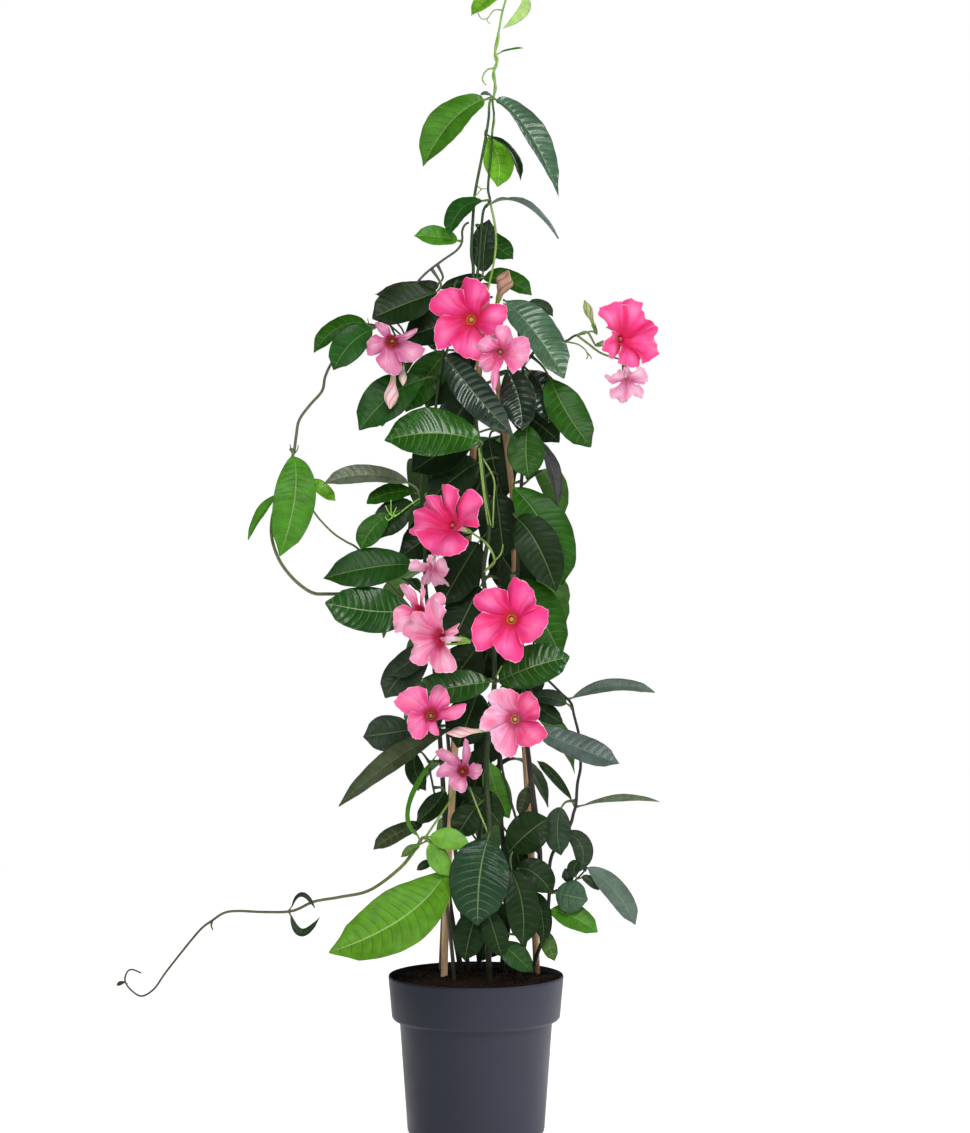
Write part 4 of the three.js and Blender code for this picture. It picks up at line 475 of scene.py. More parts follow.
def gridQuads(rows, columns, start=0, closed=False):
    # faces of a grid of rows and columns, the last column joined to the first if closed
    i = np.arange(rows - 1)[:, None]
    j = np.arange(columns if closed else columns - 1)[None, :]
    a, b = i * columns + j, i * columns + (j + 1) % columns
    return start + np.stack([a, b, b + columns, a + columns], axis=-1).reshape(-1, 4)


def shell(top, bottom, **attributes):
    # thin closed sheet: two grids, joined all round their border
    rows, columns = top.shape[:2]
    layer = rows * columns
    grid = np.arange(layer).reshape(rows, columns)
    border = np.concatenate([grid[0, :-1], grid[:-1, -1], grid[-1, :0:-1], grid[:0:-1, 0]])
    after = np.roll(border, -1)
    rim = np.stack([border, border + layer, after + layer, after], axis=1)
    upper = gridQuads(rows, columns)
    quads = np.vstack([upper, upper[:, ::-1] + layer, rim])
    return closedPart(np.vstack([top.reshape(-1, 3), bottom.reshape(-1, 3)]), quads, **attributes)


def bothSides(above, below):
    # one attribute for the two grids of a shell
    return np.vstack([above.reshape(-1, 3), below.reshape(-1, 3)])


def tubeAxes(path):
    # two directions across a path: its tangent crossed with the fixed direction that it follows least
    tangent = unit(np.gradient(path, axis=0))
    fixed = unit(np.array([[1, 0, 0], [0, 1, 0], [0, 0, 1], [1, 1, 0], [1, -1, 0], [0, 1, 1], [1, 0, 1.0]]))
    reference = fixed[np.argmin(np.abs(tangent @ fixed.T).max(axis=0))]
    side = unit(np.cross(tangent, reference))
    return side, np.cross(tangent, side)


def tube(path, radii, sides, **attributes):
    # rings of the given radii across a path, radius times cosine and sine along its two axes, closed by a
    # point at each end
    side, up = tubeAxes(path)
    angle = np.arange(sides) * 2 * math.pi / sides
    ring = np.cos(angle)[None, :, None] * side[:, None] + np.sin(angle)[None, :, None] * up[:, None]
    body = path[:, None] + np.asarray(radii)[:, None, None] * ring
    return capped(body, path[0], path[-1], **attributes)


def capped(rings, first, last, **attributes):
    # a closed skin over rings, with a pole before the first ring and one after the last
    rows, sides = rings.shape[:2]
    j = np.arange(sides)
    points = np.vstack([rings.reshape(-1, 3), first, last])
    low = np.stack([np.full(sides, rows * sides), (j + 1) % sides, j], axis=1)
    high = (rows - 1) * sides + np.stack([j, (j + 1) % sides, np.full(sides, sides + 1)], axis=1)
    for name, value in attributes.items():
        value = np.asarray(value, float)
        if value.ndim == 3:
            value = np.vstack([value.reshape(rows * sides, -1), value[0].mean(0), value[-1].mean(0)])
        elif value.ndim == 2:
            value = np.vstack([np.repeat(value, sides, axis=0), value[0], value[-1]])
        attributes[name] = value
    return closedPart(points, gridQuads(rows, sides, closed=True), np.vstack([low, high]), **attributes)


def smoothPath(places, step):
    # even Catmull-Rom curve through the places, with a point about every step
    p = np.asarray(places, float)
    held = np.vstack([2 * p[0] - p[1], p, 2 * p[-1] - p[-2]])
    counts = np.maximum(1, np.ceil(np.linalg.norm(np.diff(p, axis=0), axis=1) / step)).astype(int)
    span = np.repeat(np.arange(len(p) - 1), counts)
    start = np.repeat(np.cumsum(counts) - counts, counts)
    t = ((np.arange(len(span)) - start) / np.repeat(counts, counts))[:, None]
    a, b, c, d = (held[span + k] for k in range(4))
    into, away = (c - a) / 2, (d - b) / 2
    curve = (2 * t**3 - 3 * t**2 + 1) * b + (t**3 - 2 * t**2 + t) * into
    curve = curve + (3 * t**2 - 2 * t**3) * c + (t**3 - t**2) * away
    return np.vstack([curve, p[-1]])


def makePiece(name, parts, materials, node=None):
    # parts: lists of closed parts, one list for each material
    flat = [(part, index) for index, group in enumerate(parts) for part in group]
    start = np.cumsum([0] + [len(part["points"]) for part, index in flat])
    points = np.vstack([part["points"] for part, index in flat]) * metre
    quads = np.vstack([part["quads"] + first for (part, index), first in zip(flat, start)])
    tris = np.vstack([part["tris"] + first for (part, index), first in zip(flat, start)])
    owner = [np.full(len(part[kind]), index) for kind in ("quads", "tris") for part, index in flat]
    mesh = bpy.data.meshes.new(name)
    mesh.vertices.add(len(points))
    mesh.vertices.foreach_set("co", points.astype(np.float32).ravel())
    mesh.loops.add(quads.size + tris.size)
    mesh.loops.foreach_set("vertex_index", np.concatenate([quads.ravel(), tris.ravel()]).astype(np.int32))
    sizes = np.concatenate([np.full(len(quads), 4), np.full(len(tris), 3)])
    mesh.polygons.add(len(sizes))
    mesh.polygons.foreach_set("loop_start", (np.cumsum(sizes) - sizes).astype(np.int32))
    mesh.polygons.foreach_set("material_index", np.concatenate(owner).astype(np.int32))
    mesh.polygons.foreach_set("use_smooth", np.ones(len(sizes), bool))
    for material in materials:
        mesh.materials.append(material)
    for key in sorted({key for part, index in flat for key in part["attributes"]}):
        rows = [part["attributes"].get(key, np.zeros((len(part["points"]), 3))) for part, index in flat]
        values = np.vstack(rows).astype(np.float32)
        layer = mesh.attributes.new(key, "FLOAT_VECTOR", "POINT")
        layer.data.foreach_set("vector", values.ravel())
    mesh.update()
    mesh.validate()
    piece = bpy.data.objects.new(name, mesh)
    bpy.context.scene.collection.objects.link(piece)
    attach(piece, "root")
    if node:
        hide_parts(node)
    return piece


# Nearly all of a noise texture lies between these two values
noiseSpan = [0.3, 0.7]


def newMaterial(name):
    # a material with an empty node tree
    material = bpy.data.materials.new(name)
    material.use_nodes = True
    material.node_tree.nodes.clear()
    return material, material.node_tree


def add(tree, kind, settings=None, out=0, **inputs):
    # a node with its settings; inputs are values or sockets to link, i0 and i1 being the first and second,
    # and a list fills that many inputs in a row
    node = tree.nodes.new("ShaderNode" + kind)
    for key, value in (settings or {}).items():
        if key == "ramp":
            for element, (position, colour) in zip(node.color_ramp.elements, value):
                element.position, element.color = position, colour
        else:
            setattr(node, key, value)
    for key, value in inputs.items():
        first = int(key[1:]) if key[1:].isdigit() else key.replace("_", " ")
        if isinstance(value, bpy.types.NodeSocket):
            tree.links.new(value, node.inputs[first])
        elif isinstance(value, list):
            for k, single in enumerate(value):
                node.inputs[first + k].default_value = single
        else:
            node.inputs[first].default_value = value
    return node.outputs[out] if node.outputs else node


# Leaf of a dipladenia hybrid: a thin glossy cuticle over quilted green flesh, so it mirrors the light in
# broken streaks and its veins lie as fine pale or dark furrows.
leafLook = {
    # widths are shares of the vein spacing and of the blade's half width
    "veinHalfWidth": 0.09, "veinFade": [0.95, 0.35], "veinColour": "#b9cf8c", "darkestVein": 0.45,
    "veinDepthMm": 0.5, "ribHalfWidth": [0.036, 0.012], "ribPaleness": [0.2, 0.65],
    "patchMm": 13, "patchShade": [0.78, 1.22], "patchGloss": [-0.05, 0.08],
    "netMm": 2.3, "netDepthMm": 0.9, "netStrength": [0.55, 0.12],
    "coatFrom": [0.16, 0.32], "coat": [0.8, 0.04], "coatRoughness": 0.13,
}


def glossyLeaf():
    look = leafLook
    material, tree = newMaterial("glossyLeaf")
    tone = add(tree, "Attribute", {"attribute_name": "tone"}, out=1)
    blade = add(tree, "Attribute", {"attribute_name": "blade"}, out=1)
    finish = add(tree, "Attribute", {"attribute_name": "finish"}, out=1)
    place = add(tree, "TexCoord", out=3)
    along, across, under = (add(tree, "SeparateXYZ", out=k, i0=blade) for k in range(3))
    pale, rough, fleck = (add(tree, "SeparateXYZ", out=k, i0=finish) for k in range(3))
    # a side vein runs wherever along is a whole number, the midrib where across is 0
    cycle = add(tree, "Math", {"operation": "PINGPONG"}, i0=along, i1=0.5)
    sideVein = add(tree, "MapRange", i0=cycle, i1=look["veinHalfWidth"], i2=0.0)
    reach = add(tree, "Math", {"operation": "ABSOLUTE"}, i0=across)
    fade = add(tree, "MapRange", i0=reach, i1=look["veinFade"])
    sideVein = add(tree, "Math", {"operation": "MULTIPLY"}, i0=sideVein, i1=fade)
    midrib = add(tree, "MapRange", i0=reach, i1=look["ribHalfWidth"])
    # pale veins lighten the flesh, negative ones darken it
    palePart = add(tree, "Math", {"operation": "MULTIPLY", "use_clamp": True}, i0=sideVein, i1=pale)
    ribTone = add(tree, "Math", {"operation": "ABSOLUTE"}, i0=pale)
    ribTone = add(tree, "MapRange", i0=ribTone, i1=0.0, i2=0.7, i3=look["ribPaleness"])
    ribPart = add(tree, "Math", {"operation": "MULTIPLY"}, i0=midrib, i1=ribTone)
    veinShare = add(tree, "Math", {"operation": "MAXIMUM"}, i0=palePart, i1=ribPart)
    darkPart = add(tree, "Math", {"operation": "MULTIPLY"}, i0=sideVein, i1=pale)
    darkening = add(tree, "MapRange", i0=darkPart, i1=-1.0, i2=0.0, i3=look["darkestVein"], i4=1.0)
    patches = add(tree, "TexNoise", Vector=place, Scale=1 / (look["patchMm"] * metre), Detail=3.0)
    shade = add(tree, "MapRange", i0=patches, i1=noiseSpan, i3=look["patchShade"])
    fullShade = add(tree, "Math", {"operation": "MULTIPLY"}, i0=shade, i1=darkening)
    flesh = add(tree, "VectorMath", {"operation": "SCALE"}, i0=tone, Scale=fullShade)
    veined = add(tree, "Mix", {"data_type": "RGBA"}, out=2, i0=veinShare, i6=flesh,
                 i7=rgba(look["veinColour"]))
    net = add(tree, "TexVoronoi", {"feature": "DISTANCE_TO_EDGE"}, Vector=place,
              Scale=1 / (look["netMm"] * metre))
    wetness = add(tree, "Math", {"operation": "MULTIPLY_ADD"}, i0=fleck, i1=look["netStrength"])
    netBump = add(tree, "Bump", Strength=wetness, Distance=look["netDepthMm"] * metre, Height=net)
    veinSign = add(tree, "MapRange", i0=under, i1=0.0, i2=1.0, i3=-1.0, i4=1.0)
    veinHeight = add(tree, "Math", {"operation": "MULTIPLY"}, i0=sideVein, i1=veinSign)
    veinBump = add(tree, "Bump", Strength=0.5, Distance=look["veinDepthMm"] * metre, Height=veinHeight,
                   Normal=netBump)
    gloss = add(tree, "MapRange", i0=patches, i1=noiseSpan, i3=look["patchGloss"])
    roughness = add(tree, "Math", {"operation": "ADD", "use_clamp": True}, i0=rough, i1=gloss)
    polish = add(tree, "MapRange", i0=rough, i1=look["coatFrom"], i3=look["coat"])
    surface = add(tree, "BsdfPrincipled", Base_Color=veined, Roughness=roughness, IOR=1.45,
                  Specular_IOR_Level=0.2, Coat_Weight=polish, Coat_Roughness=look["coatRoughness"],
                  Normal=veinBump)
    add(tree, "OutputMaterial", Surface=surface)
    return material


# Green and half-woody stems: a smooth bark with fine lengthwise streaks, satin rather than glossy.
stemLook = {"streakMm": 1.6, "streakStretch": 0.18, "streakShade": [0.72, 1.3], "depthMm": 0.3,
            "roughness": 0.48}


def vineBark():
    material, tree = newMaterial("vineBark")
    tone = add(tree, "Attribute", {"attribute_name": "tone"}, out=1)
    place = add(tree, "TexCoord", out=3)
    stretched = add(tree, "Mapping", Vector=place, Scale=(1, 1, stemLook["streakStretch"]))
    streaks = add(tree, "TexNoise", Vector=stretched, Scale=1 / (stemLook["streakMm"] * metre), Detail=2.0)
    shade = add(tree, "MapRange", i0=streaks, i1=noiseSpan, i3=stemLook["streakShade"])
    bark = add(tree, "VectorMath", {"operation": "SCALE"}, i0=tone, Scale=shade)
    relief = add(tree, "Bump", Strength=0.35, Distance=stemLook["depthMm"] * metre, Height=streaks)
    surface = add(tree, "BsdfPrincipled", Base_Color=bark, Roughness=stemLook["roughness"], IOR=1.45,
                  Specular_IOR_Level=0.45, Normal=relief)
    add(tree, "OutputMaterial", Surface=surface)
    return material


# Petal: velvety cells that scatter light, so it looks matt and saturated, with fine rays from the throat.
petalLook = {
    "raysAcross": 26, "rayNoise": [0.35, 0.68], "rayShade": [0.82, 1.13], "rayDepthMm": 0.5,
    "cloudMm": 9, "cloudShade": [0.85, 1.12], "roughness": 0.52, "velvet": 0.14,
}


def velvetPetal():
    look = petalLook
    material, tree = newMaterial("velvetPetal")
    tone = add(tree, "Attribute", {"attribute_name": "tone"}, out=1)
    lobe = add(tree, "Attribute", {"attribute_name": "lobe"}, out=1)
    place = add(tree, "TexCoord", out=3)
    drawn = add(tree, "Mapping", Vector=lobe, Scale=(look["raysAcross"] / 3, 1.3, 1))
    rays = add(tree, "TexNoise", Vector=drawn, Scale=1.0, Detail=2.0)
    clouds = add(tree, "TexNoise", Vector=place, Scale=1 / (look["cloudMm"] * metre), Detail=2.0)
    rayShade = add(tree, "MapRange", i0=rays, i1=look["rayNoise"], i3=look["rayShade"])
    cloudShade = add(tree, "MapRange", i0=clouds, i1=noiseSpan, i3=look["cloudShade"])
    shade = add(tree, "Math", {"operation": "MULTIPLY"}, i0=rayShade, i1=cloudShade)
    # green and blue vary most, so that the pink deepens instead of greying
    power = add(tree, "CombineXYZ", i0=1.0, i1=shade, i2=shade)
    colour = add(tree, "VectorMath", {"operation": "MULTIPLY"}, i0=tone, i1=power)
    relief = add(tree, "Bump", Strength=0.3, Distance=look["rayDepthMm"] * metre, Height=rays)
    surface = add(tree, "BsdfPrincipled", Base_Color=colour, Roughness=look["roughness"], IOR=1.4,
                  Specular_IOR_Level=0.35, Sheen_Weight=look["velvet"], Sheen_Roughness=0.5, Normal=relief)
    add(tree, "OutputMaterial", Surface=surface)
    return material


# Injection-moulded polypropylene nursery pot: satin slate grey, a faint grain and broad flow marks, with
# painted light and shade: darker on its left and lighter on its right, where the light falls.
potLook = {"colour": "#0a1120", "paintedLitSide": "#3c3d4a", "halfWidth": 0.09, "grainMm": 0.9,
           "grainDepthMm": 0.2, "flowMm": 60, "flowShade": [0.93, 1.07], "roughness": [0.4, 0.52]}


def mouldedPolypropylene():
    look = potLook
    material, tree = newMaterial("mouldedPolypropylene")
    place = add(tree, "TexCoord", out=3)
    flow = add(tree, "TexNoise", Vector=place, Scale=1 / (look["flowMm"] * metre), Detail=3.0)
    # painted light and shade: the body turns from the dark colour on its left to the lighter one on its right
    sideways = add(tree, "SeparateXYZ", out=0, i0=place)
    turning = add(tree, "MapRange", i0=sideways, i1=-look["halfWidth"], i2=look["halfWidth"])
    body = add(tree, "Mix", {"data_type": "RGBA"}, out=2, i0=turning, i6=rgba(look["colour"]),
               i7=rgba(look["paintedLitSide"]))
    shade = add(tree, "MapRange", i0=flow, i1=noiseSpan, i3=look["flowShade"])
    colour = add(tree, "VectorMath", {"operation": "SCALE"}, i0=body, Scale=shade)
    grain = add(tree, "TexNoise", Vector=place, Scale=1 / (look["grainMm"] * metre), Detail=2.0)
    relief = add(tree, "Bump", Strength=0.12, Distance=look["grainDepthMm"] * metre, Height=grain)
    sheenMarks = add(tree, "MapRange", i0=flow, i1=noiseSpan, i3=look["roughness"])
    surface = add(tree, "BsdfPrincipled", Base_Color=colour, Roughness=sheenMarks, IOR=1.49,
                  Specular_IOR_Level=0.22, Normal=relief)
    add(tree, "OutputMaterial", Surface=surface)
    return material


# Peat compost: black-brown crumbs with reddish fibres, quite matt.
peatLook = {"dark": "#120c09", "light": "#3a241a", "crumbMm": 2.6, "depthMm": 1.6}


def peatCompost():
    material, tree = newMaterial("peatCompost")
    place = add(tree, "TexCoord", out=3)
    crumbs = add(tree, "TexNoise", Vector=place, Scale=1 / (peatLook["crumbMm"] * metre), Detail=5.0,
                 Roughness=0.7)
    colour = add(tree, "ValToRGB", {"ramp": [(0.4, rgba(peatLook["dark"])), (0.72, rgba(peatLook["light"]))]},
                 i0=crumbs)
    relief = add(tree, "Bump", Strength=0.9, Distance=peatLook["depthMm"] * metre, Height=crumbs)
    surface = add(tree, "BsdfPrincipled", Base_Color=colour, Roughness=0.94, IOR=1.4,
                  Specular_IOR_Level=0.2, Normal=relief)
    add(tree, "OutputMaterial", Surface=surface)
    return material


# Bamboo cane, stained by the shade: straight grain, dull skin, a darker ring at each joint.
caneLook = {
    "grainMm": 0.9, "grainStretch": 0.03, "grainShade": [0.78, 1.16], "depthMm": 0.3, "stainMm": 24,
    "stainShade": [0.8, 1.12], "roughness": 0.62,
}


def bambooCane():
    look = caneLook
    material, tree = newMaterial("bambooCane")
    tone = add(tree, "Attribute", {"attribute_name": "tone"}, out=1)
    place = add(tree, "TexCoord", out=3)
    stretched = add(tree, "Mapping", Vector=place, Scale=(1, 1, look["grainStretch"]))
    grain = add(tree, "TexNoise", Vector=stretched, Scale=1 / (look["grainMm"] * metre), Detail=3.0)
    stains = add(tree, "TexNoise", Vector=place, Scale=1 / (look["stainMm"] * metre), Detail=3.0)
    grainShade = add(tree, "MapRange", i0=grain, i1=noiseSpan, i3=look["grainShade"])
    stainShade = add(tree, "MapRange", i0=stains, i1=noiseSpan, i3=look["stainShade"])
    shade = add(tree, "Math", {"operation": "MULTIPLY"}, i0=grainShade, i1=stainShade)
    colour = add(tree, "VectorMath", {"operation": "SCALE"}, i0=tone, Scale=shade)
    relief = add(tree, "Bump", Strength=0.3, Distance=look["depthMm"] * metre, Height=grain)
    surface = add(tree, "BsdfPrincipled", Base_Color=colour, Roughness=look["roughness"], IOR=1.5,
                  Specular_IOR_Level=0.4, Normal=relief)
    add(tree, "OutputMaterial", Surface=surface)
    return material


# Plastic-coated tie wire: dark green, slightly shiny, dusty in places.
wireLook = {"clean": "#26351f", "dusty": "#47573a", "dustMm": 3, "roughness": 0.4}


def coatedWire():
    material, tree = newMaterial("coatedWire")
    place = add(tree, "TexCoord", out=3)
    dust = add(tree, "TexNoise", Vector=place, Scale=1 / (wireLook["dustMm"] * metre), Detail=2.0)
    dusting = [(0.3, rgba(wireLook["clean"])), (0.75, rgba(wireLook["dusty"]))]
    colour = add(tree, "ValToRGB", {"ramp": dusting}, i0=dust)
    surface = add(tree, "BsdfPrincipled", Base_Color=colour, Roughness=wireLook["roughness"], IOR=1.5)
    add(tree, "OutputMaterial", Surface=surface)
    return material


leafSkin, barkSkin, petalSkin = glossyLeaf(), vineBark(), velvetPetal()
potPlastic, peat, caneWood, wireCoat = mouldedPolypropylene(), peatCompost(), bambooCane(), coatedWire()
print("materials made")

# Pot: [radius, height] of its profile, from the axis under the floor, over the rim, to the axis inside
potShape = {
    "sides": 132, "bevel": 1.0, "drains": 8, "drainRadius": 4.5, "drainCircle": 42, "drainSides": 24,
    "drainSpan": [-3, 8],
    "profile": [
        [0, 0], [26, 0], [28, 2.5], [56, 2.5], [58.5, 0], [71, 0], [73.2, 1.2], [74, 4], [82.4, 120.5],
        [88.8, 122.3], [90.8, 124.7], [94.6, 167.9], [94.1, 169.5], [92.7, 169.5], [88.9, 125.5],
        [80.5, 122], [72.1, 5], [0, 5],
    ],
}


def roundedProfile(profile, bevel):
    # each inner corner gives way to three points of a small arc
    p = np.asarray(profile, float)
    before, corner, after = p[:-2], p[1:-1], p[2:]
    back = np.minimum(bevel, np.linalg.norm(before - corner, axis=1) / 2.5)[:, None]
    ahead = np.minimum(bevel, np.linalg.norm(after - corner, axis=1) / 2.5)[:, None]
    a, c = corner + unit(before - corner) * back, corner + unit(after - corner) * ahead
    arcs = np.stack([a, (a + 2 * corner + c) / 4, c], axis=1).reshape(-1, 2)
    return np.vstack([p[0], arcs, p[-1]])


def turned(profile, sides, centre=(0, 0)):
    # a closed body of revolution about Z: the profile starts and ends on the axis
    inner = profile[1:-1]
    angle = np.arange(sides) * 2 * math.pi / sides
    x = centre[0] + inner[:, :1] * np.cos(angle)
    y = centre[1] + inner[:, :1] * np.sin(angle)
    rings = np.stack([x, y, np.broadcast_to(inner[:, 1:], x.shape)], axis=-1)
    return capped(rings, [*centre, profile[0, 1]], [*centre, profile[-1, 1]])


def makePot():
    # the turned profile, less a ring of round plugs through its floor
    body = turned(roundedProfile(potShape["profile"], potShape["bevel"]), potShape["sides"])
    pot = makePiece("pot_moulding", [[body]], [potPlastic], "pot")
    low, high = potShape["drainSpan"]
    bore, circle = potShape["drainRadius"], potShape["drainCircle"]
    plug = np.array([[0, low], [bore, low], [bore, high], [0, high]], float)
    turns = (np.arange(potShape["drains"]) + 0.5) / potShape["drains"] * 2 * math.pi
    plugs = [turned(plug, potShape["drainSides"], (math.cos(t) * circle, math.sin(t) * circle))
             for t in turns]
    cutter = makePiece("drain_cutter", [plugs], [])
    cut = pot.modifiers.new("drains", "BOOLEAN")
    cut.operation, cut.solver, cut.object = "DIFFERENCE", "EXACT", cutter
    evaluated = pot.evaluated_get(bpy.context.evaluated_depsgraph_get())
    holed = bpy.data.meshes.new_from_object(evaluated)
    pot.modifiers.clear()
    pot.data = holed
    bpy.data.objects.remove(cutter)


makePot()

# Peat bed, slightly mounded, with loose crumbs and fibres lying on it
soilShape = {
    "top": 165.0, "mound": 1.0, "rimDrop": 1.2, "rimRadius": 91.3, "rings": 60, "sides": 150, "relief": 0.8,
    "under": [[88.4, 126.5], [80, 121.8], [71.6, 5.6]], "seed": 7,
    "crumbs": 900, "crumbSize": [0.7, 2.6], "crumbFineness": 2.4, "crumbStretch": [0.65, 1.25],
    "crumbKnobs": [0.8, 1.2], "crumbsWithin": 0.985, "crumbSunk": 0.4, "crumbRaised": 0.15,
    "fibres": 150, "fibreReach": 86, "fibreLength": [4, 13], "fibreBend": 8, "fibreHump": 2.0,
    "fibreSlope": 0.12, "fibreLift": 1.2,
    "fibreRadii": [0.1, 0.22, 0.26, 0.24, 0.2, 0.08],
}


def makeSoil():
    # a disc that mounds and ripples, on rings that follow the inside of the pot down to its floor
    shape = soilShape
    draw = np.random.default_rng(shape["seed"])
    angle = np.arange(shape["sides"]) * 2 * math.pi / shape["sides"]
    radius = np.linspace(1, shape["rimRadius"], shape["rings"])[:, None]
    x, y = radius * np.cos(angle), radius * np.sin(angle)
    # the mound falls off with the fourth power of the radius; three sines cross for the ripples
    rough = np.sin(x / 3.1 + 2 * np.sin(y / 4.7)) * np.sin(y / 2.7 + x / 9) + 0.6 * np.sin(x / 1.7 - y / 2.1)
    fall = (radius / shape["rimRadius"]) ** 4
    z = shape["top"] + shape["mound"] * (1 - fall) - shape["rimDrop"] * fall + shape["relief"] / 2 * rough
    under = np.array(shape["under"])
    deep = np.stack([under[:, :1] * np.cos(angle), under[:, :1] * np.sin(angle),
                     np.broadcast_to(under[:, 1:], (3, len(angle)))], axis=-1)
    rings = np.concatenate([np.stack([x, y, z], axis=-1), deep])
    bed = capped(rings, [0, 0, z[0].mean()], [0, 0, under[-1, 1]])
    makePiece("peat_bed", [[bed]], [peat], "soil")

    # crumbs are small twenty-faced lumps, each with its own size and stretch
    golden = (1 + 5**0.5) / 2
    knob = unit(np.array([
        [-1, golden, 0], [1, golden, 0], [-1, -golden, 0], [1, -golden, 0], [0, -1, golden], [0, 1, golden],
        [0, -1, -golden], [0, 1, -golden], [golden, 0, -1], [golden, 0, 1], [-golden, 0, -1], [-golden, 0, 1],
    ]))
    faces = np.array([
        [0, 11, 5], [0, 5, 1], [0, 1, 7], [0, 7, 10], [0, 10, 11], [1, 5, 9], [5, 11, 4], [11, 10, 2],
        [10, 7, 6], [7, 1, 8], [3, 9, 4], [3, 4, 2], [3, 2, 6], [3, 6, 8], [3, 8, 9], [4, 9, 5], [2, 4, 11],
        [6, 2, 10], [8, 6, 7], [9, 8, 1],
    ])
    count = shape["crumbs"]
    away = shape["rimRadius"] * shape["crumbsWithin"] * np.sqrt(draw.random(count))
    turn = draw.random(count) * 2 * math.pi
    size = between(shape["crumbSize"], draw.random(count) ** shape["crumbFineness"])
    stretch = size[:, None, None] * between(shape["crumbStretch"], draw.random((count, 1, 3)))
    lumps = knob[None] * stretch * between(shape["crumbKnobs"], draw.random((count, 12, 1)))
    mound = shape["mound"] * (1 - (away / shape["rimRadius"]) ** 4)
    level = shape["top"] + mound - shape["crumbSunk"]
    level = level + size * shape["crumbRaised"]
    centre = np.stack([away * np.cos(turn), away * np.sin(turn), level], axis=1)
    points = (lumps + centre[:, None]).reshape(-1, 3)
    tris = (faces[None] + 12 * np.arange(count)[:, None, None]).reshape(-1, 3)
    crumbs = closedPart(points, np.zeros((0, 4), int), tris)
    strands = []
    for i in range(shape["fibres"]):
        reach = shape["fibreReach"] * math.sqrt(draw.random())
        lie, heading, grown = draw.random(3) * [6.28, 6.28, 1]
        length = between(shape["fibreLength"], grown)
        start = np.array([reach * math.cos(lie), reach * math.sin(lie), shape["top"] + shape["fibreLift"]])
        t = np.linspace(-0.5, 0.5, len(shape["fibreRadii"]))[:, None]
        bend = (draw.random(2) - 0.5) * shape["fibreBend"]
        slope = shape["fibreSlope"] * (draw.random() - 0.5)
        along = np.array([math.cos(heading), math.sin(heading), slope])
        line = start + along * t * length + np.array([*bend, shape["fibreHump"]]) * (0.25 - t**2)
        strands.append(tube(line, shape["fibreRadii"], 4))
    makePiece("peat_crumbs", [[crumbs, *strands]], [peat], None)


makeSoil()

# Canes: buried foot, the places each leans through, and its colour low down and high up
tieShape = {"centre": [9, 20], "height": 903, "wire": 0.62, "turns": 11, "strandGap": 0.55, "clearance": 1.1,
            "start": -1.2, "share": 0.985, "points": 220, "sides": 8}
caneShape = {"radius": [3.9, 3.1], "fitGap": 0.35, "sides": 18, "step": 4, "pastTie": [-14, 15],
             "jointEvery": 168, "jointSwell": 0.35, "jointWidth": 2.6, "jointShade": 0.35}
canes = {
    # painted light: the front cane's pale colour low down stands for the light that falls on it there
    "cane_front": {"spread": -150, "foot": [-35, 7, 24], "colours": ["#ffd3a6", "#c69a72"], "firstJoint": 88,
                   "lean": [[-34.4, 8, 172], [-27.6, 9, 330], [-8, 14, 640]]},
    "cane_right": {"spread": -30, "foot": [60, 33.5, 50], "colours": ["#c8a07c", "#b08c6c"],
                   "firstJoint": 130, "lean": [[66, 37, 172], [43.4, 33, 584], [39.6, 29, 690]]},
    "cane_back": {"spread": 90, "foot": [-36, 58, 50], "colours": ["#9c7c62", "#84684f"], "firstJoint": 60,
                  "lean": [[-37.6, 62, 172], [-24, 55, 420], [-8, 42, 680]]},
}
tieSpacing = (2 * caneShape["radius"][1] + caneShape["fitGap"]) / math.sqrt(3)


def makeCanes():
    # a tube along a smooth curve from the foot to the tie, tapering with height
    shape = caneShape
    for name, cane in canes.items():
        turn = math.radians(cane["spread"])
        x = tieShape["centre"][0] + tieSpacing * math.cos(turn)
        y = tieShape["centre"][1] + tieSpacing * math.sin(turn)
        ends = [[x, y, tieShape["height"] + past] for past in shape["pastTie"]]
        path = smoothPath([cane["foot"], *cane["lean"], *ends], shape["step"])
        z = path[:, 2]
        share = (z - z[0]) / (z[-1] - z[0])
        # it swells and darkens round each joint, by a bell curve of the distance to the nearest
        halfWay = shape["jointEvery"] / 2
        off = np.abs((z - cane["firstJoint"] + halfWay) % shape["jointEvery"] - halfWay)
        joint = bell(off, 0, shape["jointWidth"])
        radii = between(shape["radius"], share) + shape["jointSwell"] * joint
        low, high = (linear(colour) for colour in cane["colours"])
        tone = blendTo(low, high, share) * (1 - shape["jointShade"] * joint[:, None])
        part = tube(path, radii, shape["sides"], tone=tone)
        makePiece(name + "_bamboo", [[part]], [caneWood], name)


def makeTie():
    # two strands that wind round each other along a ring, open by a small gap
    shape = tieShape
    t = np.linspace(0, 2 * math.pi * shape["share"], shape["points"])
    heading = t + shape["start"]
    radius = tieSpacing + caneShape["radius"][1] + caneShape["fitGap"] + shape["clearance"]
    strands = []
    for phase in (0, math.pi):
        twist = shape["turns"] * t + phase
        reach = radius + shape["strandGap"] * np.cos(twist)
        path = np.stack([shape["centre"][0] + reach * np.cos(heading),
                         shape["centre"][1] + reach * np.sin(heading),
                         shape["height"] + shape["strandGap"] * np.sin(twist)], axis=1)
        strands.append(tube(path, np.full(len(t), shape["wire"]), shape["sides"]))
    makePiece("tie_wire", [strands], [wireCoat], "cane_tie")


makeCanes()
makeTie()
print("pot, soil and canes made")

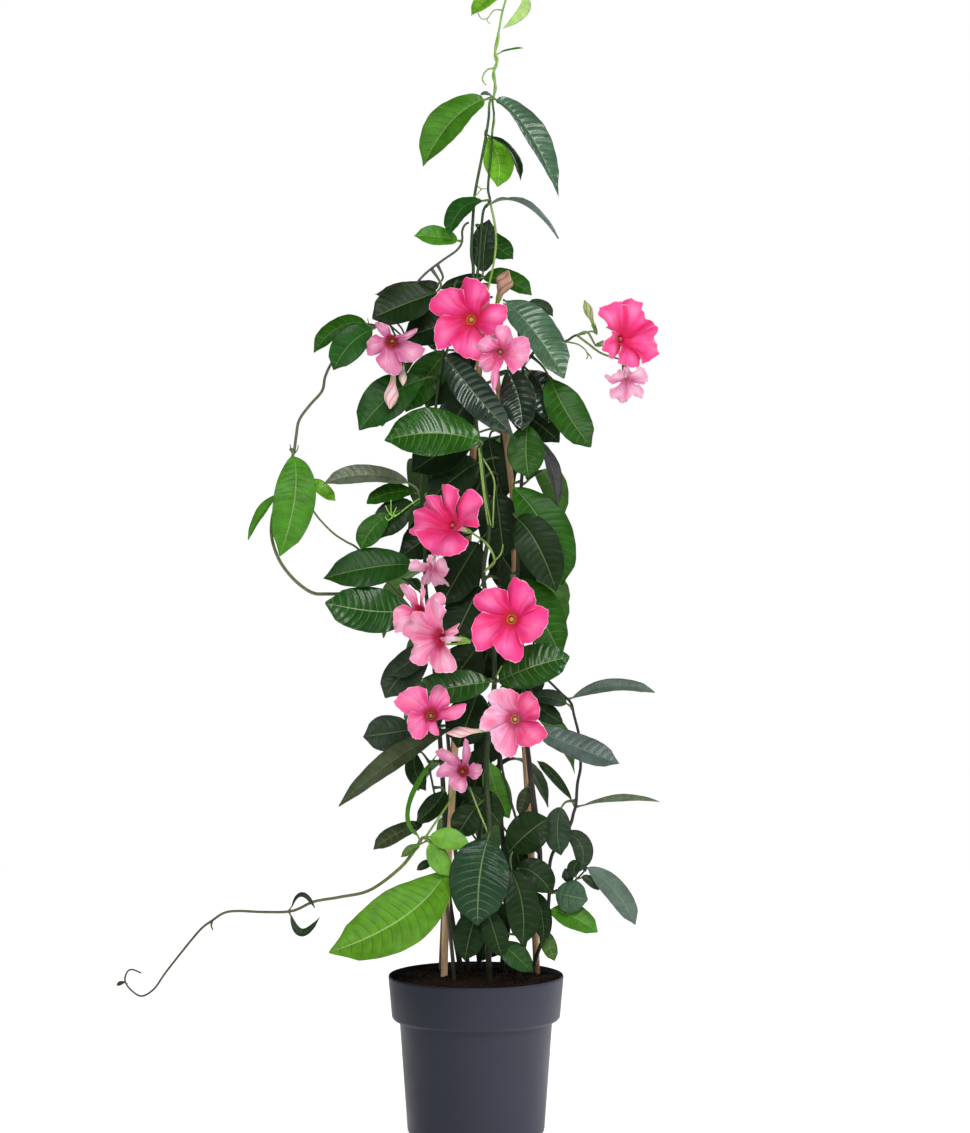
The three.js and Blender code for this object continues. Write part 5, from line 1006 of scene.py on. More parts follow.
# Colours of the upper and lower side; vein 0 to 1 how pale its veins are, below 0 how dark; rough its gloss;
# quilt how deep the veins sink, as a share of half width; fleck how pebbled the cuticle is
toneKeys = ["face", "under", "vein", "rough", "quilt", "fleck"]
toneRows = {
    # lime and limeBroad: bright lime faces, partly the young leaves' own green and partly painted light
    # shining through the blade
    "lime": ["#6cb020", "#8dbd4e", -0.7, 0.4, 0.02, 0.35],
    "limeBroad": ["#58941c", "#83b04a", -0.7, 0.42, 0.02, 0.35],
    "pale": ["#a9cf74", "#b9d98c", -0.1, 0.4, 0.02, 0.1],
    "fresh": ["#46821c", "#6a9a45", -0.3, 0.4, 0.02, 0.2],
    "freshLight": ["#6fa83c", "#86b558", 0.15, 0.38, 0.02, 0.2],
    # grey: a grey-green face, partly the leaf's own and partly a painted reflection of white light on its
    # gloss
    "grey": ["#5d6f62", "#62755c", 0.08, 0.4, 0.03, 0.6],
    "greyDark": ["#2a3c28", "#4a574a", 0.05, 0.42, 0.02, 0.5],
    # greySheen: its face is greyed and lightened as a painted reflection on its gloss
    "greySheen": ["#53645c", "#4d5c50", 0.04, 0.3, 0.03, 0.8],
    "greyBrown": ["#6c755f", "#5f6553", 0.15, 0.3, 0.05, 0.8],
    "greyOlive": ["#475637", "#55643f", 0.06, 0.42, 0.02, 0.4],
    "greyPurple": ["#3a3a3c", "#4c5049", 0.04, 0.4, 0.03, 0.5],
    # sheen: its face is greyed and lightened as a painted reflection on its gloss
    "sheen": ["#4a6a50", "#47723d", 0.22, 0.24, 0.04, 0.15],
    "dark": ["#122c08", "#35502a", 0.03, 0.42, 0.015, 0.3],
    "deep": ["#1a4a0e", "#3d632a", 0.06, 0.4, 0.02, 0.25],
    # shade: the inside leaves, darker than their own green as painted shade among the foliage
    "shade": ["#122a0b", "#29401f", 0.02, 0.55, 0.02, 0.1],
    "deepGloss": ["#205216", "#3b6530", 0.25, 0.26, 0.035, 0.35],
    "gloss": ["#1c5204", "#4a7a2c", 0.3, 0.23, 0.02, 1.0],
    "wet": ["#223628", "#2d4526", 0.12, 0.16, 0.05, 0.6],
    "wetBlue": ["#173a20", "#3a5a44", 0.2, 0.3, 0.015, 1.0],
    "mid": ["#205403", "#4b762c", 0.12, 0.42, 0.013, 0.2],
    "olive": ["#4d702c", "#667f45", 0.3, 0.4, 0.02, 0.3],
    "paleOlive": ["#66755a", "#748163", 0.2, 0.42, 0.02, 0.4],
    "brown": ["#33382a", "#4a4d3b", 0.15, 0.4, 0.03, 0.4],
    "brownOlive": ["#3c4629", "#535d3d", 0.15, 0.42, 0.02, 0.4],
    "quilted": ["#425f46", "#45604a", 0.08, 0.34, 0.03, 1.0],
}
tones = {name: dict(zip(toneKeys, row)) for name, row in toneRows.items()}
bladeShape = {
    # the outline: how far its widest place lies from the middle, how full it is, and its drawn-out tip
    "skew": 1.04, "fullness": 0.56, "tipFrom": 0.86, "tipPinch": 0.6, "narrowest": 0.35,
    "thickness": 0.8, "edgeThinning": 0.22, "cupping": 0.1, "edgeWave": 0.07, "edgeWaves": 1.6,
    "flutter": 0.012, "flutters": 7.5, "veinEvery": 8.0, "veinSteps": [0, 0.17, 0.5, 0.83], "sweep": 0.45,
    "sweepForm": [0.35, 0.65], "veinPairs": [4, 15], "creasePower": 0.7, "creaseLevel": 0.75,
    "ribClear": 0.15, "channelWidth": 0.05, "channelDepth": 0.3, "ribDepth": 0.35, "ribDepthByWidth": 0.02,
    "largeOver": 12,
    "largeAcross": [0, 0.035, 0.09, 0.2, 0.36, 0.54, 0.72, 0.87, 0.96, 1],
    "smallAcross": [0, 0.07, 0.22, 0.5, 0.8, 1],
}
# Shares of a tone's light, but for footReach, which is one of the blade's length; the last three set the
# underside's veins, roughness and pebbles
leafTint = {"least": 0.9, "drift": 0.22, "footGlow": 0.25, "footReach": 0.12, "edgeShade": 0.15,
            "redDrift": 0.12, "blueDrift": 0.1, "underVein": 0.8, "underRough": 0.2, "underFleck": 0.1}
# How far apart the blade's outline stations are in the solids, by size
stations = [[16, [0, 0.15, 0.38, 0.64, 0.86, 1]], [8, [0, 0.2, 0.52, 0.84, 1]], [0, [0, 0.3, 0.75, 1]]]


def bladeOutline(u):
    # sine arch, steeper towards the foot, pinched over its last part into a drawn-out tip
    tipFrom, tipPinch = bladeShape["tipFrom"], bladeShape["tipPinch"]
    pinch = np.where(u > tipFrom, 1 - (u - tipFrom) / (1 - tipFrom) * tipPinch, 1)
    arch = np.sin(math.pi * np.clip(u, 0, 1) ** bladeShape["skew"]).clip(0)
    return arch ** bladeShape["fullness"] * pinch


def bladePoints(leaf, u, v, relief=0.0):
    # parabola through foot, middle and tip; the two halves fold up from it and their edges wave
    base, middle, tip = leaf["base"], leaf["middle"], leaf["tip"]
    control = 2 * middle - (base + tip) / 2
    u, v = np.broadcast_arrays(u, v)
    t = u[..., None]
    rib = (1 - t) ** 2 * base + 2 * t * (1 - t) * control + t**2 * tip
    s = np.clip(t, 0.001, 0.999)
    tangent = unit((1 - s) * (control - base) + s * (tip - control))
    normal = unit(leaf["look"] - tangent * dot(tangent, leaf["look"]))
    side = np.cross(tangent, normal)
    width = leaf["halfWidth"] * bladeOutline(u)
    turning = 2 * math.pi * bladeShape["edgeWaves"] * u + leaf["phase"]
    wave = bladeShape["edgeWave"] * leaf["halfWidth"] * np.sin(turning)
    lift = width * (np.abs(v) * math.sin(leaf["fold"]) - bladeShape["cupping"] * v**2)
    lift = lift + np.where(width > 0, wave * v * np.abs(v), 0) + relief
    reach = np.maximum(width, bladeShape["narrowest"]) * v * math.cos(leaf["fold"])
    return rib + side * reach[..., None] + normal * lift[..., None], normal


def bladePart(leaf, index):
    # a thin sheet: the blade's surface plus half its thickness above, less the midrib's channel, and
    # minus the other half and the midrib's ridge below
    tone = tones[leaf["tone"]]
    halfWidth = leaf["halfWidth"]
    length = np.linalg.norm(leaf["middle"] - leaf["base"]) + np.linalg.norm(leaf["tip"] - leaf["middle"])
    veins = int(np.clip(round(length / bladeShape["veinEvery"]), *bladeShape["veinPairs"]))
    half = np.array(bladeShape["largeAcross" if halfWidth > bladeShape["largeOver"] else "smallAcross"])
    v = np.concatenate([-half[:0:-1], half])[None, :]
    row = (np.arange(veins)[:, None] + np.array(bladeShape["veinSteps"])).ravel() / veins
    row = np.append(row, 1.0)[:, None]
    # rows follow the side veins, which sweep forward towards the edge
    straight, bent = bladeShape["sweepForm"]
    sweep = bladeShape["sweep"] * halfWidth / length * (straight * np.abs(v) + bent * v**2)
    u = row + sweep * 4 * row * (1 - row)
    # veins sink, the flesh between them swells; both die out at the midrib, the edge and the two ends
    crease = np.abs(np.sin(math.pi * row * veins)) ** bladeShape["creasePower"] - bladeShape["creaseLevel"]
    inside = np.minimum(1, np.abs(v) / bladeShape["ribClear"]) * (1 - np.abs(v) ** 6)
    relief = tone["quilt"] * halfWidth * crease * inside * np.sqrt(4 * row * (1 - row) + 1e-6)
    beat = 2 * math.pi * bladeShape["flutters"] * row + 3 * leaf["phase"]
    relief = relief + bladeShape["flutter"] * halfWidth * np.sin(beat) * np.abs(v) ** 3 * np.sign(v)
    # the midrib is a channel above and a ridge below, both running out towards the tip
    channel = bell(v, 0, bladeShape["channelWidth"]) * (1 - row)
    ridge = bladeShape["ribDepth"] + bladeShape["ribDepthByWidth"] * halfWidth
    surface, normal = bladePoints(leaf, u, v, relief)
    thick = bladeShape["thickness"] * (0.5 - bladeShape["edgeThinning"] * v**2) + 0 * u
    top = surface + normal * (thick - bladeShape["channelDepth"] * channel)[..., None]
    bottom = surface - normal * (thick + ridge * channel)[..., None]

    # tint: lighter at the foot, a little darker at the edge, each leaf slightly its own
    tint = leafTint
    own = tint["least"] + tint["drift"] * vary(index, draws["light"])
    foot = tint["footGlow"] * np.exp(-row / tint["footReach"])
    light = own * (1 + foot - tint["edgeShade"] * np.abs(v) ** 3)
    redder, bluer = vary(index, draws["warmth"]) - 0.5, 0.5 - vary(index, draws["coolness"])
    warm = np.array([1 + tint["redDrift"] * redder, 1, 1 + tint["blueDrift"] * bluer])
    face = linear(tone["face"]) * warm * light[..., None]
    under = linear(tone["under"]) * warm * light[..., None]
    layers = [np.stack([row * veins + 0 * v, v + 0 * row, np.full(u.shape, k)], axis=-1) for k in (0.0, 1.0)]
    finish = [tone["vein"], tone["rough"], tone["fleck"]]
    underFinish = [tone["vein"] * tint["underVein"], tone["rough"] + tint["underRough"], tint["underFleck"]]
    finishes = [np.broadcast_to(one, u.shape + (3,)) for one in (finish, underFinish)]
    return shell(top, bottom, tone=bothSides(face, under), blade=bothSides(*layers),
                 finish=bothSides(*finishes))


# Ways a leaf may be bent clear of its neighbours: it moves in depth by shift and its tip swings further
nudges = [(shift, swing) for shift in (0, -4, 4, -8, 8, -13, 13, -19, 19, -26, 26, -34, 34)
          for swing in (0, -12, 12, -24, 24)]


def stationsOf(leaf):
    # the row for the leaf's half width, which counts half on a plain leaf
    size = leaf["halfWidth"] * (0.5 if leaf["plain"] else 1)
    return next(us for over, us in stations if size > over)


def bentLeaf(shapeFor, corners):
    # of all the ways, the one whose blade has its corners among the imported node's own corners
    best = None
    for nudge in nudges:
        leaf = shapeFor(*nudge)
        u, v = np.meshgrid(stationsOf(leaf)[1:-1], [-1.0, 1.0])
        surface, normal = bladePoints(leaf, u, v)
        half = normal * bladeShape["thickness"] / 2
        tried = np.vstack([(surface + half).reshape(-1, 3), (surface - half).reshape(-1, 3)]) * metre
        miss = sum(min(corners.find(point)[2], 0.004) for point in tried) / len(tried)
        if best is None or miss < best[0]:
            best = (miss, leaf)
    return best


def phaseOf(index):
    # where the waves of a blade's edge start, as an angle within one turn
    return 6.28 * vary(index, draws["phase"])


def placedLeaf(name, row, index):
    # a listed leaf: shift moves all of it in depth, swing moves its tip and, half as far, its middle
    base, middle, tip, halfWidth, look, fold, tone = row

    def shapeFor(shift, swing):
        moved = at([[*base[:2], base[2] + shift], [*middle[:2], middle[2] + shift + swing / 2],
                    [*tip[:2], tip[2] + shift + swing]])
        return {"base": moved[0], "middle": moved[1], "tip": moved[2], "halfWidth": halfWidth,
                "look": facing(look), "fold": math.radians(fold), "phase": phaseOf(index),
                "plain": name == "centre_stem", "tone": tone}
    return shapeFor


# Leaves of the inside and the far side: the heights they start and end at, and their headings from +X
fillers = {
    "back_stem": {"from": 235, "to": 880, "step": 72, "headings": [[40, 134], [74, 112], [30, 152]],
                   "length": 112},
    "left_stem": {"from": 450, "to": 870, "step": 130, "headings": [[104], [124]], "length": 84},
    "right_stem": {"from": 440, "to": 760, "step": 130, "headings": [[84], [84]], "length": 80},
}
# Its numbers across and up are shares of its length; petiole and rise are in millimetres
fillerShape = {
    "tones": ["deep", "mid", "dark", "deep", "mid"], "shortBelow": 400, "short": 0.72,
    "length": [0.86, 1.14], "halfWidth": 0.24, "middle": 0.52, "tip": 0.94, "fold": 13,
    "petiole": 15, "rise": 5, "arch": 12, "sag": [16, 50], "swivel": 18, "turnByShift": 1.5,
}


def fillerLeaf(stemPoint, heading, length, index):
    # it runs out from the stem at its heading, rises to its middle and sags from there to its tip
    shape = fillerShape
    size = length * between(shape["length"], vary(index, draws["length"]))
    size = size * (shape["short"] if stemPoint[2] < shape["shortBelow"] else 1)
    sag = between(shape["sag"], vary(index, draws["sag"]))
    turn = heading + shape["swivel"] * (vary(index, draws["heading"]) - 0.5)
    kind = int(len(shape["tones"]) * vary(index, draws["kind"]))

    def shapeFor(shift, swing):
        angle = math.radians(turn + shape["turnByShift"] * shift)
        out = np.array([math.cos(angle), math.sin(angle), 0])
        raised = np.array([0, 0, 1.0])
        foot = stemPoint + shape["petiole"] * out
        return {"base": foot + shape["rise"] * raised,
                "middle": foot + shape["middle"] * size * out + (shape["arch"] + swing / 2) * raised,
                "tip": foot + shape["tip"] * size * out + (swing - sag) * raised,
                "halfWidth": shape["halfWidth"] * size, "look": unit(raised + 0.5 * out),
                "fold": math.radians(shape["fold"]), "phase": phaseOf(index), "plain": True,
                "tone": shape["tones"][kind]}
    return shapeFor


# Growth of a stem with all that it carries: steps and radii in millimetres, tapers as shares of a radius
growth = {
    "ringEvery": 3.5, "coarseEvery": 34, "ribEvery": 4, "thinUnder": 1.25,
    "petioleLead": 10, "petioleEvery": 3.0, "petioleInto": 0.4, "petioleRadius": [0.5, 1.25],
    "petioleByWidth": 0.06, "petioleTaper": [1.75, 1.2, 1, 0.9], "petioleTip": 0.35, "stalklessUnder": 8,
    "stalkEvery": 2.5, "stalkRadius": {"bloom": 1.1, "bud": 0.9}, "calyxSize": {"bloom": 1.0, "bud": 0.75},
    "stalkFoot": 1.25, "neckBack": 8, "cupRings": [6, 4, 2, 0.35], "cupSwell": [1.5, 2.2, 2.45, 2.3],
    "sepals": 5, "sepalLength": 10.5, "sepalWidth": 1.9, "sepalHalfSkin": 0.25, "sepalFoot": -4.0,
    "sepalAway": [2.1, 0.5, 1.3], "sepalCup": 0.35, "sepalBelly": [0.75, 0.6], "sepalTaper": 0.8,
    "petioleColour": "#8aa35a",
}


def coarseRibs(places):
    # the stem's axis as a run of straight lengths, with a point at least every ribEvery
    p = np.asarray(places, float)
    held = np.vstack([2 * p[0] - p[1], p, 2 * p[-1] - p[-2]])
    points = []
    for i in range(len(p) - 1):
        parts = max(1, int(math.floor(np.linalg.norm(p[i + 1] - p[i]) / growth["coarseEvery"] + 0.5)))
        t = (np.arange(parts) / parts)[:, None]
        a, b, c, d = held[i:i + 4]
        points.append((2 * t**3 - 3 * t**2 + 1) * b + (t**3 - 2 * t**2 + t) * (c - a) / 2
                      + (3 * t**2 - 2 * t**3) * c + (t**3 - t**2) * (d - b) / 2)
    points = np.vstack([*points, p[-1:]])
    ribs = []
    for a, b in zip(points[:-1], points[1:]):
        parts = math.ceil(np.linalg.norm(b - a) / growth["ribEvery"])
        ribs.append(a + (b - a) * (np.arange(parts) / parts)[:, None])
    return np.vstack(ribs)


def nearest(ribs, place):
    # the point of the ribs whose squared distance from the place is least
    return ribs[np.argmin(np.sum((ribs - place) ** 2, axis=1))]


def barkTone(bark, path):
    # red, green and blue each run straight from one listed height to the next
    heights = [height for height, colour in bark]
    colours = np.array([linear(colour) for height, colour in bark])
    return np.stack([np.interp(path[:, 2], heights, colours[:, k]) for k in range(3)], axis=1)


def bar(places, radii, toneOf, step, sides=10):
    # a tube along the smooth path through the places, with its radii spread evenly over it
    path = smoothPath(places, step)
    share = np.linspace(0, 1, len(path))
    return tube(path, np.interp(share, np.linspace(0, 1, len(radii)), radii), sides, tone=toneOf(path))


def petiolePart(leaf, ribs, barkOf):
    # a bar from the stem's nearest rib, through an elbow behind the blade, into the foot of the blade
    foot = bladePoints(leaf, np.array(0.0), np.array(0.0))[0]
    beyond = bladePoints(leaf, np.array(stationsOf(leaf)[1]), np.array(0.0))[0]
    inside = foot + (beyond - foot) * growth["petioleInto"]
    back = unit(foot - inside)
    root = nearest(ribs, foot + back * growth["petioleLead"])
    bend = foot + back * np.linalg.norm(foot - root) * 0.45
    elbow = 0.25 * root + 0.5 * bend + 0.25 * foot
    thinnest, thickest = growth["petioleRadius"]
    radius = min(thickest, thinnest + growth["petioleByWidth"] * leaf["halfWidth"])
    places = [root, elbow, foot * 0.5 + inside * 0.5, inside]
    if leaf["halfWidth"] < growth["stalklessUnder"]:
        places = [root, inside]
    stalkTone = linear(tones[leaf["tone"]]["face"]) * 0.6 + linear(growth["petioleColour"]) * 0.3

    def toneOf(path):
        # the bark's colour turns to the stalk's over the first half
        share = ramp(np.linspace(0, 1, len(path)), 0.0, 0.5)
        return blendTo(barkOf(path), stalkTone, share)
    # thicker where it joins the stem, thinning under the blade
    radii = [radius * share for share in growth["petioleTaper"]] + [growth["petioleTip"]]
    return bar(places, radii, toneOf, growth["petioleEvery"], 8)


def bloomAxes(forward, across=(0, 0, 1)):
    # right is across crossed with forward, and up is forward crossed with right
    right = unit(np.cross(np.array(across, float), forward))
    return {"forward": forward, "right": right, "up": np.cross(forward, right)}


def sepalParts(end, axes, size, tone):
    # five narrow pointed sheets that stand round the foot of the tube and lean out a little
    t = np.linspace(0, 1, 7)[:, None]
    s = np.array([[-1, 0, 1.0]])
    parts = []
    near, lean, flare = growth["sepalAway"]
    slim, belly = growth["sepalBelly"]
    for k in range(growth["sepals"]):
        angle = math.radians(72 * k + 20)
        out = axes["right"] * math.cos(angle) + axes["up"] * math.sin(angle)
        side = np.cross(axes["forward"], out)
        away = size * (near + lean * t + flare * t**3) - growth["sepalCup"] * size * (1 - t) * s**2
        rise = growth["sepalFoot"] + growth["sepalLength"] * size * t + 0 * s
        wide = size * growth["sepalWidth"] * (1 - t) ** growth["sepalTaper"] * (slim + belly * t) * s
        place = end + rise[..., None] * axes["forward"] + away[..., None] * out + wide[..., None] * side
        skin = growth["sepalHalfSkin"] * out
        parts.append(shell(place + skin, place - skin, tone=np.broadcast_to(tone, (2 * wide.size, 3))))
    return parts


def stalkParts(places, end, axes, stemName, kind):
    # flower stalk from the nearest rib, swelling into the calyx cup, and the sepals round it
    radius, tone = growth["stalkRadius"][kind], linear(stems[stemName]["stalk"])
    stalk = at(places)
    stalk[0] = nearest(ribsOf[stemName], stalk[0])
    back = np.array(growth["cupRings"])[:, None]
    path = smoothPath([*stalk, end - axes["forward"] * growth["neckBack"]], growth["stalkEvery"])
    straight = len(path)
    path = np.vstack([path, end - axes["forward"] * back])
    radii = np.append(np.linspace(radius * growth["stalkFoot"], radius, straight),
                      radius * np.array(growth["cupSwell"]))
    skin = np.broadcast_to(tone, (len(path), 3))
    sepals = sepalParts(end, axes, growth["calyxSize"][kind], tone * [1.05, 1.1, 0.9])
    return [tube(path, radii, 10, tone=skin), *sepals]


# Corolla: lengths are shares of its radius but for thickness, in millimetres. The lobes overlap like the
# blades of a pinwheel and ruffle towards their edges; a pleat is [middle, width, depth].
corollaShape = {
    "thickness": 0.7, "lobes": 5, "tube": 0.86, "throat": 0.16, "corner": 0.6, "split": 0.45, "overlap": 1.2,
    "across": 33, "usualHalfWidth": 36, "nearCut": [1.6, 1.5], "farCut": [0.44, 1.6], "mostCut": [0.6, 1.25],
    "ruffles": 4.6, "fineRuffles": 12, "fineRuffle": 0.3, "nick": 0.016, "tilt": 0.07, "droop": 0.05,
    "pleat": 0.035, "pleats": [[-0.15, 0.14, 1.0], [-0.75, 0.12, 0.8]], "leanDrift": 0.5, "leanLevel": 0.6,
    "dipInwards": 0.5, "dipBack": 0.55, "tubeSides": 20, "tubeOutside": 8, "antherSides": 10,
    "down": [-0.14, -0.07, 0, 0.06, 0.13, 0.21, 0.3, 0.4, 0.5, 0.6, 0.7, 0.79, 0.87, 0.93, 0.97, 0.988, 1.0],
    "tubeProfile": [
        [-0.86, 0], [-0.86, 0.05], [-0.72, 0.058], [-0.56, 0.064], [-0.42, 0.08], [-0.28, 0.11],
        [-0.16, 0.142], [-0.07, 0.165], [-0.012, 0.17], [-0.004, 0.16], [-0.035, 0.14], [-0.07, 0.115],
        [-0.11, 0.085], [-0.15, 0.055], [-0.19, 0.03], [-0.21, 0],
    ],
    "anthers": [[-0.17, 0], [-0.17, 0.03], [-0.12, 0.066], [-0.07, 0.058], [-0.035, 0.03], [-0.025, 0]],
}
# main is the face, glow its paler middle, a painted highlight, deep the painted shade of its flanks, crease
# and foot, ring the throat, edge the pale rim, a painted highlight that also pales the back; left recolours
# the lobes on the left
petalKeys = ["main", "glow", "deep", "ring", "edge", "throat", "left", "leftDeep"]
petalRows = {
    "hot": ["#ee3487", "#fd86bf", "#d6105e", "#c2003a", "#ffc2da", "#e0a81c"],
    "hotPlain": ["#f24190", "#fb78b0", "#da1464", "#d40a56", "#ffc2da", "#c80a4c"],
    "rose": ["#e684b2", "#f8b6d4", "#da4a86", "#c2406e", "#fcdbe8", "#a8605a"],
    "paleRose": ["#d277a3", "#efb6d0", "#bd5a8a", "#86001e", "#f8dfe9", "#96401e"],
    "pale": ["#f4aed0", "#fbcfe2", "#e486b2", "#d8649a", "#fde3ee", "#c08a64"],
    "palePink": ["#f893bc", "#fdc4dc", "#de5c92", "#b4003a", "#ffe4ee", "#b00438"],
    "mid": ["#ec66a2", "#f79fc6", "#ce3278", "#9c002c", "#fcd6e6", "#a0803a"],
    "split": ["#e2407e", "#f483ae", "#cf2a6a", "#ac2e58", "#ffd9e8", "#dcb866", "#f2bedb", "#e49cc4"],
}
petalTones = {name: dict(zip(petalKeys, row)) for name, row in petalRows.items()}
# Where each tint of a lobe lies, along it from 0 at the throat to 1 at the rim and across it from -1 to 1.
# A pair after along, across, flank or crease is the middle and width of a bell curve, any other pair the
# start and end of a smooth step.
petalPattern = {
    # glow and sideGlow place the painted highlight; the flanks, crease and foot place the painted shade
    "glowAlong": [0.62, 0.28], "glowAcross": [0.15, 0.42], "glowShare": 0.85, "glowDrift": 0.6,
    "sideGlowAlong": [0.8, 0.16], "sideGlowAcross": [-0.6, 0.22], "sideGlowShare": 0.6,
    "nearFlank": [-0.95, 0.3], "farFlank": [1.0, 0.22], "farFlankShare": 0.7, "flankFade": [0.45, 1.0],
    "crease": [-0.15, 0.07], "creaseShare": 0.5, "creaseFade": [0.2, 0.9],
    "footShare": 0.5, "footDrift": 0.7, "footFade": [0.1, 0.6],
    "ringShare": 0.97, "ringFade": [0.03, 0.25], "ringDrift": 0.08, "throatFade": [0.08, 0.15],
    "leftFade": [-0.25, 0.55], "rimEnd": [0.975, 0.99], "rimSide": [1.16, 1.19], "rimSideFrom": [0.6, 0.8],
    "rimShare": 0.6, "rimDrift": 0.4, "flankFadeShare": 0.6, "underShare": 0.75,
}
# Outside of the tube near the calyx, and the anthers
tubeGreen, antherYellow = "#c8cf8a", "#b89648"


def lobePlaces(bloom, k, t, s):
    # the outline is an axe blade: cut back gently towards s = -1 and steeply beyond its corner, more so on a
    # narrow lobe. The five stand evenly round the throat and each takes its own heading further out. A lobe
    # leans like a pinwheel's blade out of a shallow cup and ruffles. Below t = 0 it dips into the throat.
    cut, ruffle, cup, wild = bloom["form"]
    heading, length, halfWidth = bloom["lobes"][k]
    radius, spin, axes, shape = bloom["radius"], bloom["spin"], bloom["axes"], corollaShape
    grown = np.clip(t, 0, 1)
    even = spin + 72 * k + 36 * s
    angle = np.radians(even + (heading + halfWidth * s - even) * ramp(t, 0, shape["split"]))
    (nearWidth, nearPower), (farWidth, farPower) = shape["nearCut"], shape["farCut"]
    past = s - shape["corner"]
    fall = np.where(past < 0, (np.maximum(-past, 0) / nearWidth) ** nearPower,
                    (np.maximum(past, 0) / farWidth) ** farPower)
    slim = halfWidth / shape["usualHalfWidth"]
    mostCut, mostFall = shape["mostCut"]
    # three sines of rising pitch, different on each lobe, nick the edge
    nicks = np.sin(13 * s + 3 * k + spin) + 0.7 * np.sin(29 * s + 5 * k) + 0.5 * np.sin(53 * s + k)
    nicks = shape["nick"] * nicks * min(1, slim)
    edge = length * (1 - min(mostCut, cut / slim) * np.minimum(fall, mostFall)) * (1 + nicks)
    throat = shape["throat"] * radius
    sunk = np.minimum(t, 0)
    reach = throat + (edge - throat) * grown + shape["dipInwards"] * radius * sunk
    lean = wild * shape["leanDrift"] * (vary(k, spin + draws["lean"]) - shape["leanLevel"])
    rise = cup * (2 * grown - grown**2) - shape["tilt"] * s * grown**0.7 + (lean - shape["droop"]) * grown**2
    rise = rise + ruffle * np.sin(shape["ruffles"] * s + 2.3 * k + spin) * grown**2
    fine = shape["fineRuffle"] * np.sin(shape["fineRuffles"] * s + 1.7 * k + spin) * grown**4
    rise = rise + ruffle * fine
    # a pleat runs down the middle and another along the flank that passes under the neighbour
    pleats = sum(depth * bell(s, middle, width) for middle, width, depth in shape["pleats"])
    rise = rise - shape["pleat"] * pleats * 3 * grown * (1 - grown) + shape["dipBack"] * sunk
    out = np.cos(angle)[..., None] * axes["right"] + np.sin(angle)[..., None] * axes["up"]
    return bloom["centre"] + (radius * rise)[..., None] * axes["forward"] + reach[..., None] * out


def lobeColours(look, bloom, k, t, s):
    # a painted highlight in the middle of the face, painted shade on the flanks by the pleats, in the crease
    # and at the foot, a ring round the throat, a pale rim that is a painted highlight
    heading, length, halfWidth = bloom["lobes"][k]
    main, deep, tint = look["main"], look["deep"], petalPattern
    if "left" in look:
        # the whole corolla fades from its left side to its right
        faded = ramp(-np.cos(np.radians(heading + halfWidth * s)) * t, *tint["leftFade"])
        main, deep = blendTo(main, look["left"], faded), blendTo(deep, look["leftDeep"], faded)
    drift = vary(k, bloom["spin"] + draws["drift"]) - 0.5
    # painted highlight: a paler bell on the middle of the face and a smaller one on its left flank
    glow = bell(t, *tint["glowAlong"]) * bell(s - tint["glowDrift"] * drift, *tint["glowAcross"])
    sideGlow = bell(t, *tint["sideGlowAlong"]) * bell(s, *tint["sideGlowAcross"])
    glow = (tint["glowShare"] + tint["glowDrift"] * drift) * (glow + tint["sideGlowShare"] * sideGlow)
    colour = blendTo(main, look["glow"], np.clip(glow, 0, 1))
    # painted shade: deep colour on the flanks where the neighbours overlap, in the middle crease and at the
    # foot by the throat
    flanks = bell(s, *tint["nearFlank"]) + tint["farFlankShare"] * bell(s, *tint["farFlank"])
    crease = tint["creaseShare"] * bell(s, *tint["crease"])
    foot = tint["footShare"] + tint["footDrift"] * drift
    shade = flanks * (1 - tint["flankFadeShare"] * ramp(t, *tint["flankFade"]))
    shade = shade + crease * (1 - ramp(t, *tint["creaseFade"])) + foot * (1 - ramp(t, *tint["footFade"]))
    colour = blendTo(colour, deep, np.clip(shade, 0, 1))
    ringIn, ringOut = tint["ringFade"]
    ring = tint["ringShare"] * (1 - ramp(t, ringIn, ringOut + tint["ringDrift"] * drift))
    colour = blendTo(colour, look["ring"], ring)
    colour = blendTo(colour, look["throat"], ramp(-t, *tint["throatFade"]))
    # painted highlight: the pale rim along the end and the flanks, uneven along the edge
    rimSide = ramp(np.abs(s), *tint["rimSide"]) * ramp(t, *tint["rimSideFrom"])
    paintedRimLight = tint["rimShare"] + tint["rimDrift"] * np.sin(7 * s + 2 * k)
    rim = np.maximum(ramp(t, *tint["rimEnd"]), rimSide) * paintedRimLight
    return blendTo(colour, look["edge"], np.clip(rim, 0, 1))


def corollaParts(bloom, tone):
    # five lobes, each a surface and a copy of it set back by the thickness, then the tube and the
    # cone of anthers, both turned about the forward axis
    look = {key: linear(colour) for key, colour in petalTones[tone].items()}
    shape = corollaShape
    s, t = np.meshgrid(np.linspace(-shape["overlap"], shape["overlap"], shape["across"]), shape["down"])
    thick = shape["thickness"] * (1 - 0.5 * np.clip(t, 0, 1))[..., None] * bloom["axes"]["forward"]
    parts = []
    for k in range(shape["lobes"]):
        top = lobePlaces(bloom, k, t, s)
        colour = lobeColours(look, bloom, k, t, s)
        lobe = np.stack([s, t, np.full(s.shape, 3.0 * k)], axis=-1)
        under = blendTo(look["edge"], colour, petalPattern["underShare"])
        parts.append(shell(top, top - thick, tone=bothSides(colour, under), lobe=bothSides(lobe, lobe)))
    parts.append(corollaTube(bloom, look))
    anthers = np.array(shape["anthers"]) * bloom["radius"]
    rings = ringsAbout(anthers[1:-1], shape["antherSides"], bloom["centre"], bloom["axes"])
    ends = [bloom["centre"] + z * bloom["axes"]["forward"] for z in anthers[[0, -1], 0]]
    yellow = np.broadcast_to(0.6 * look["throat"] + 0.4 * linear(antherYellow), (len(anthers) - 2, 3))
    parts.append(capped(rings, *ends, tone=yellow, lobe=0 * yellow))
    return parts


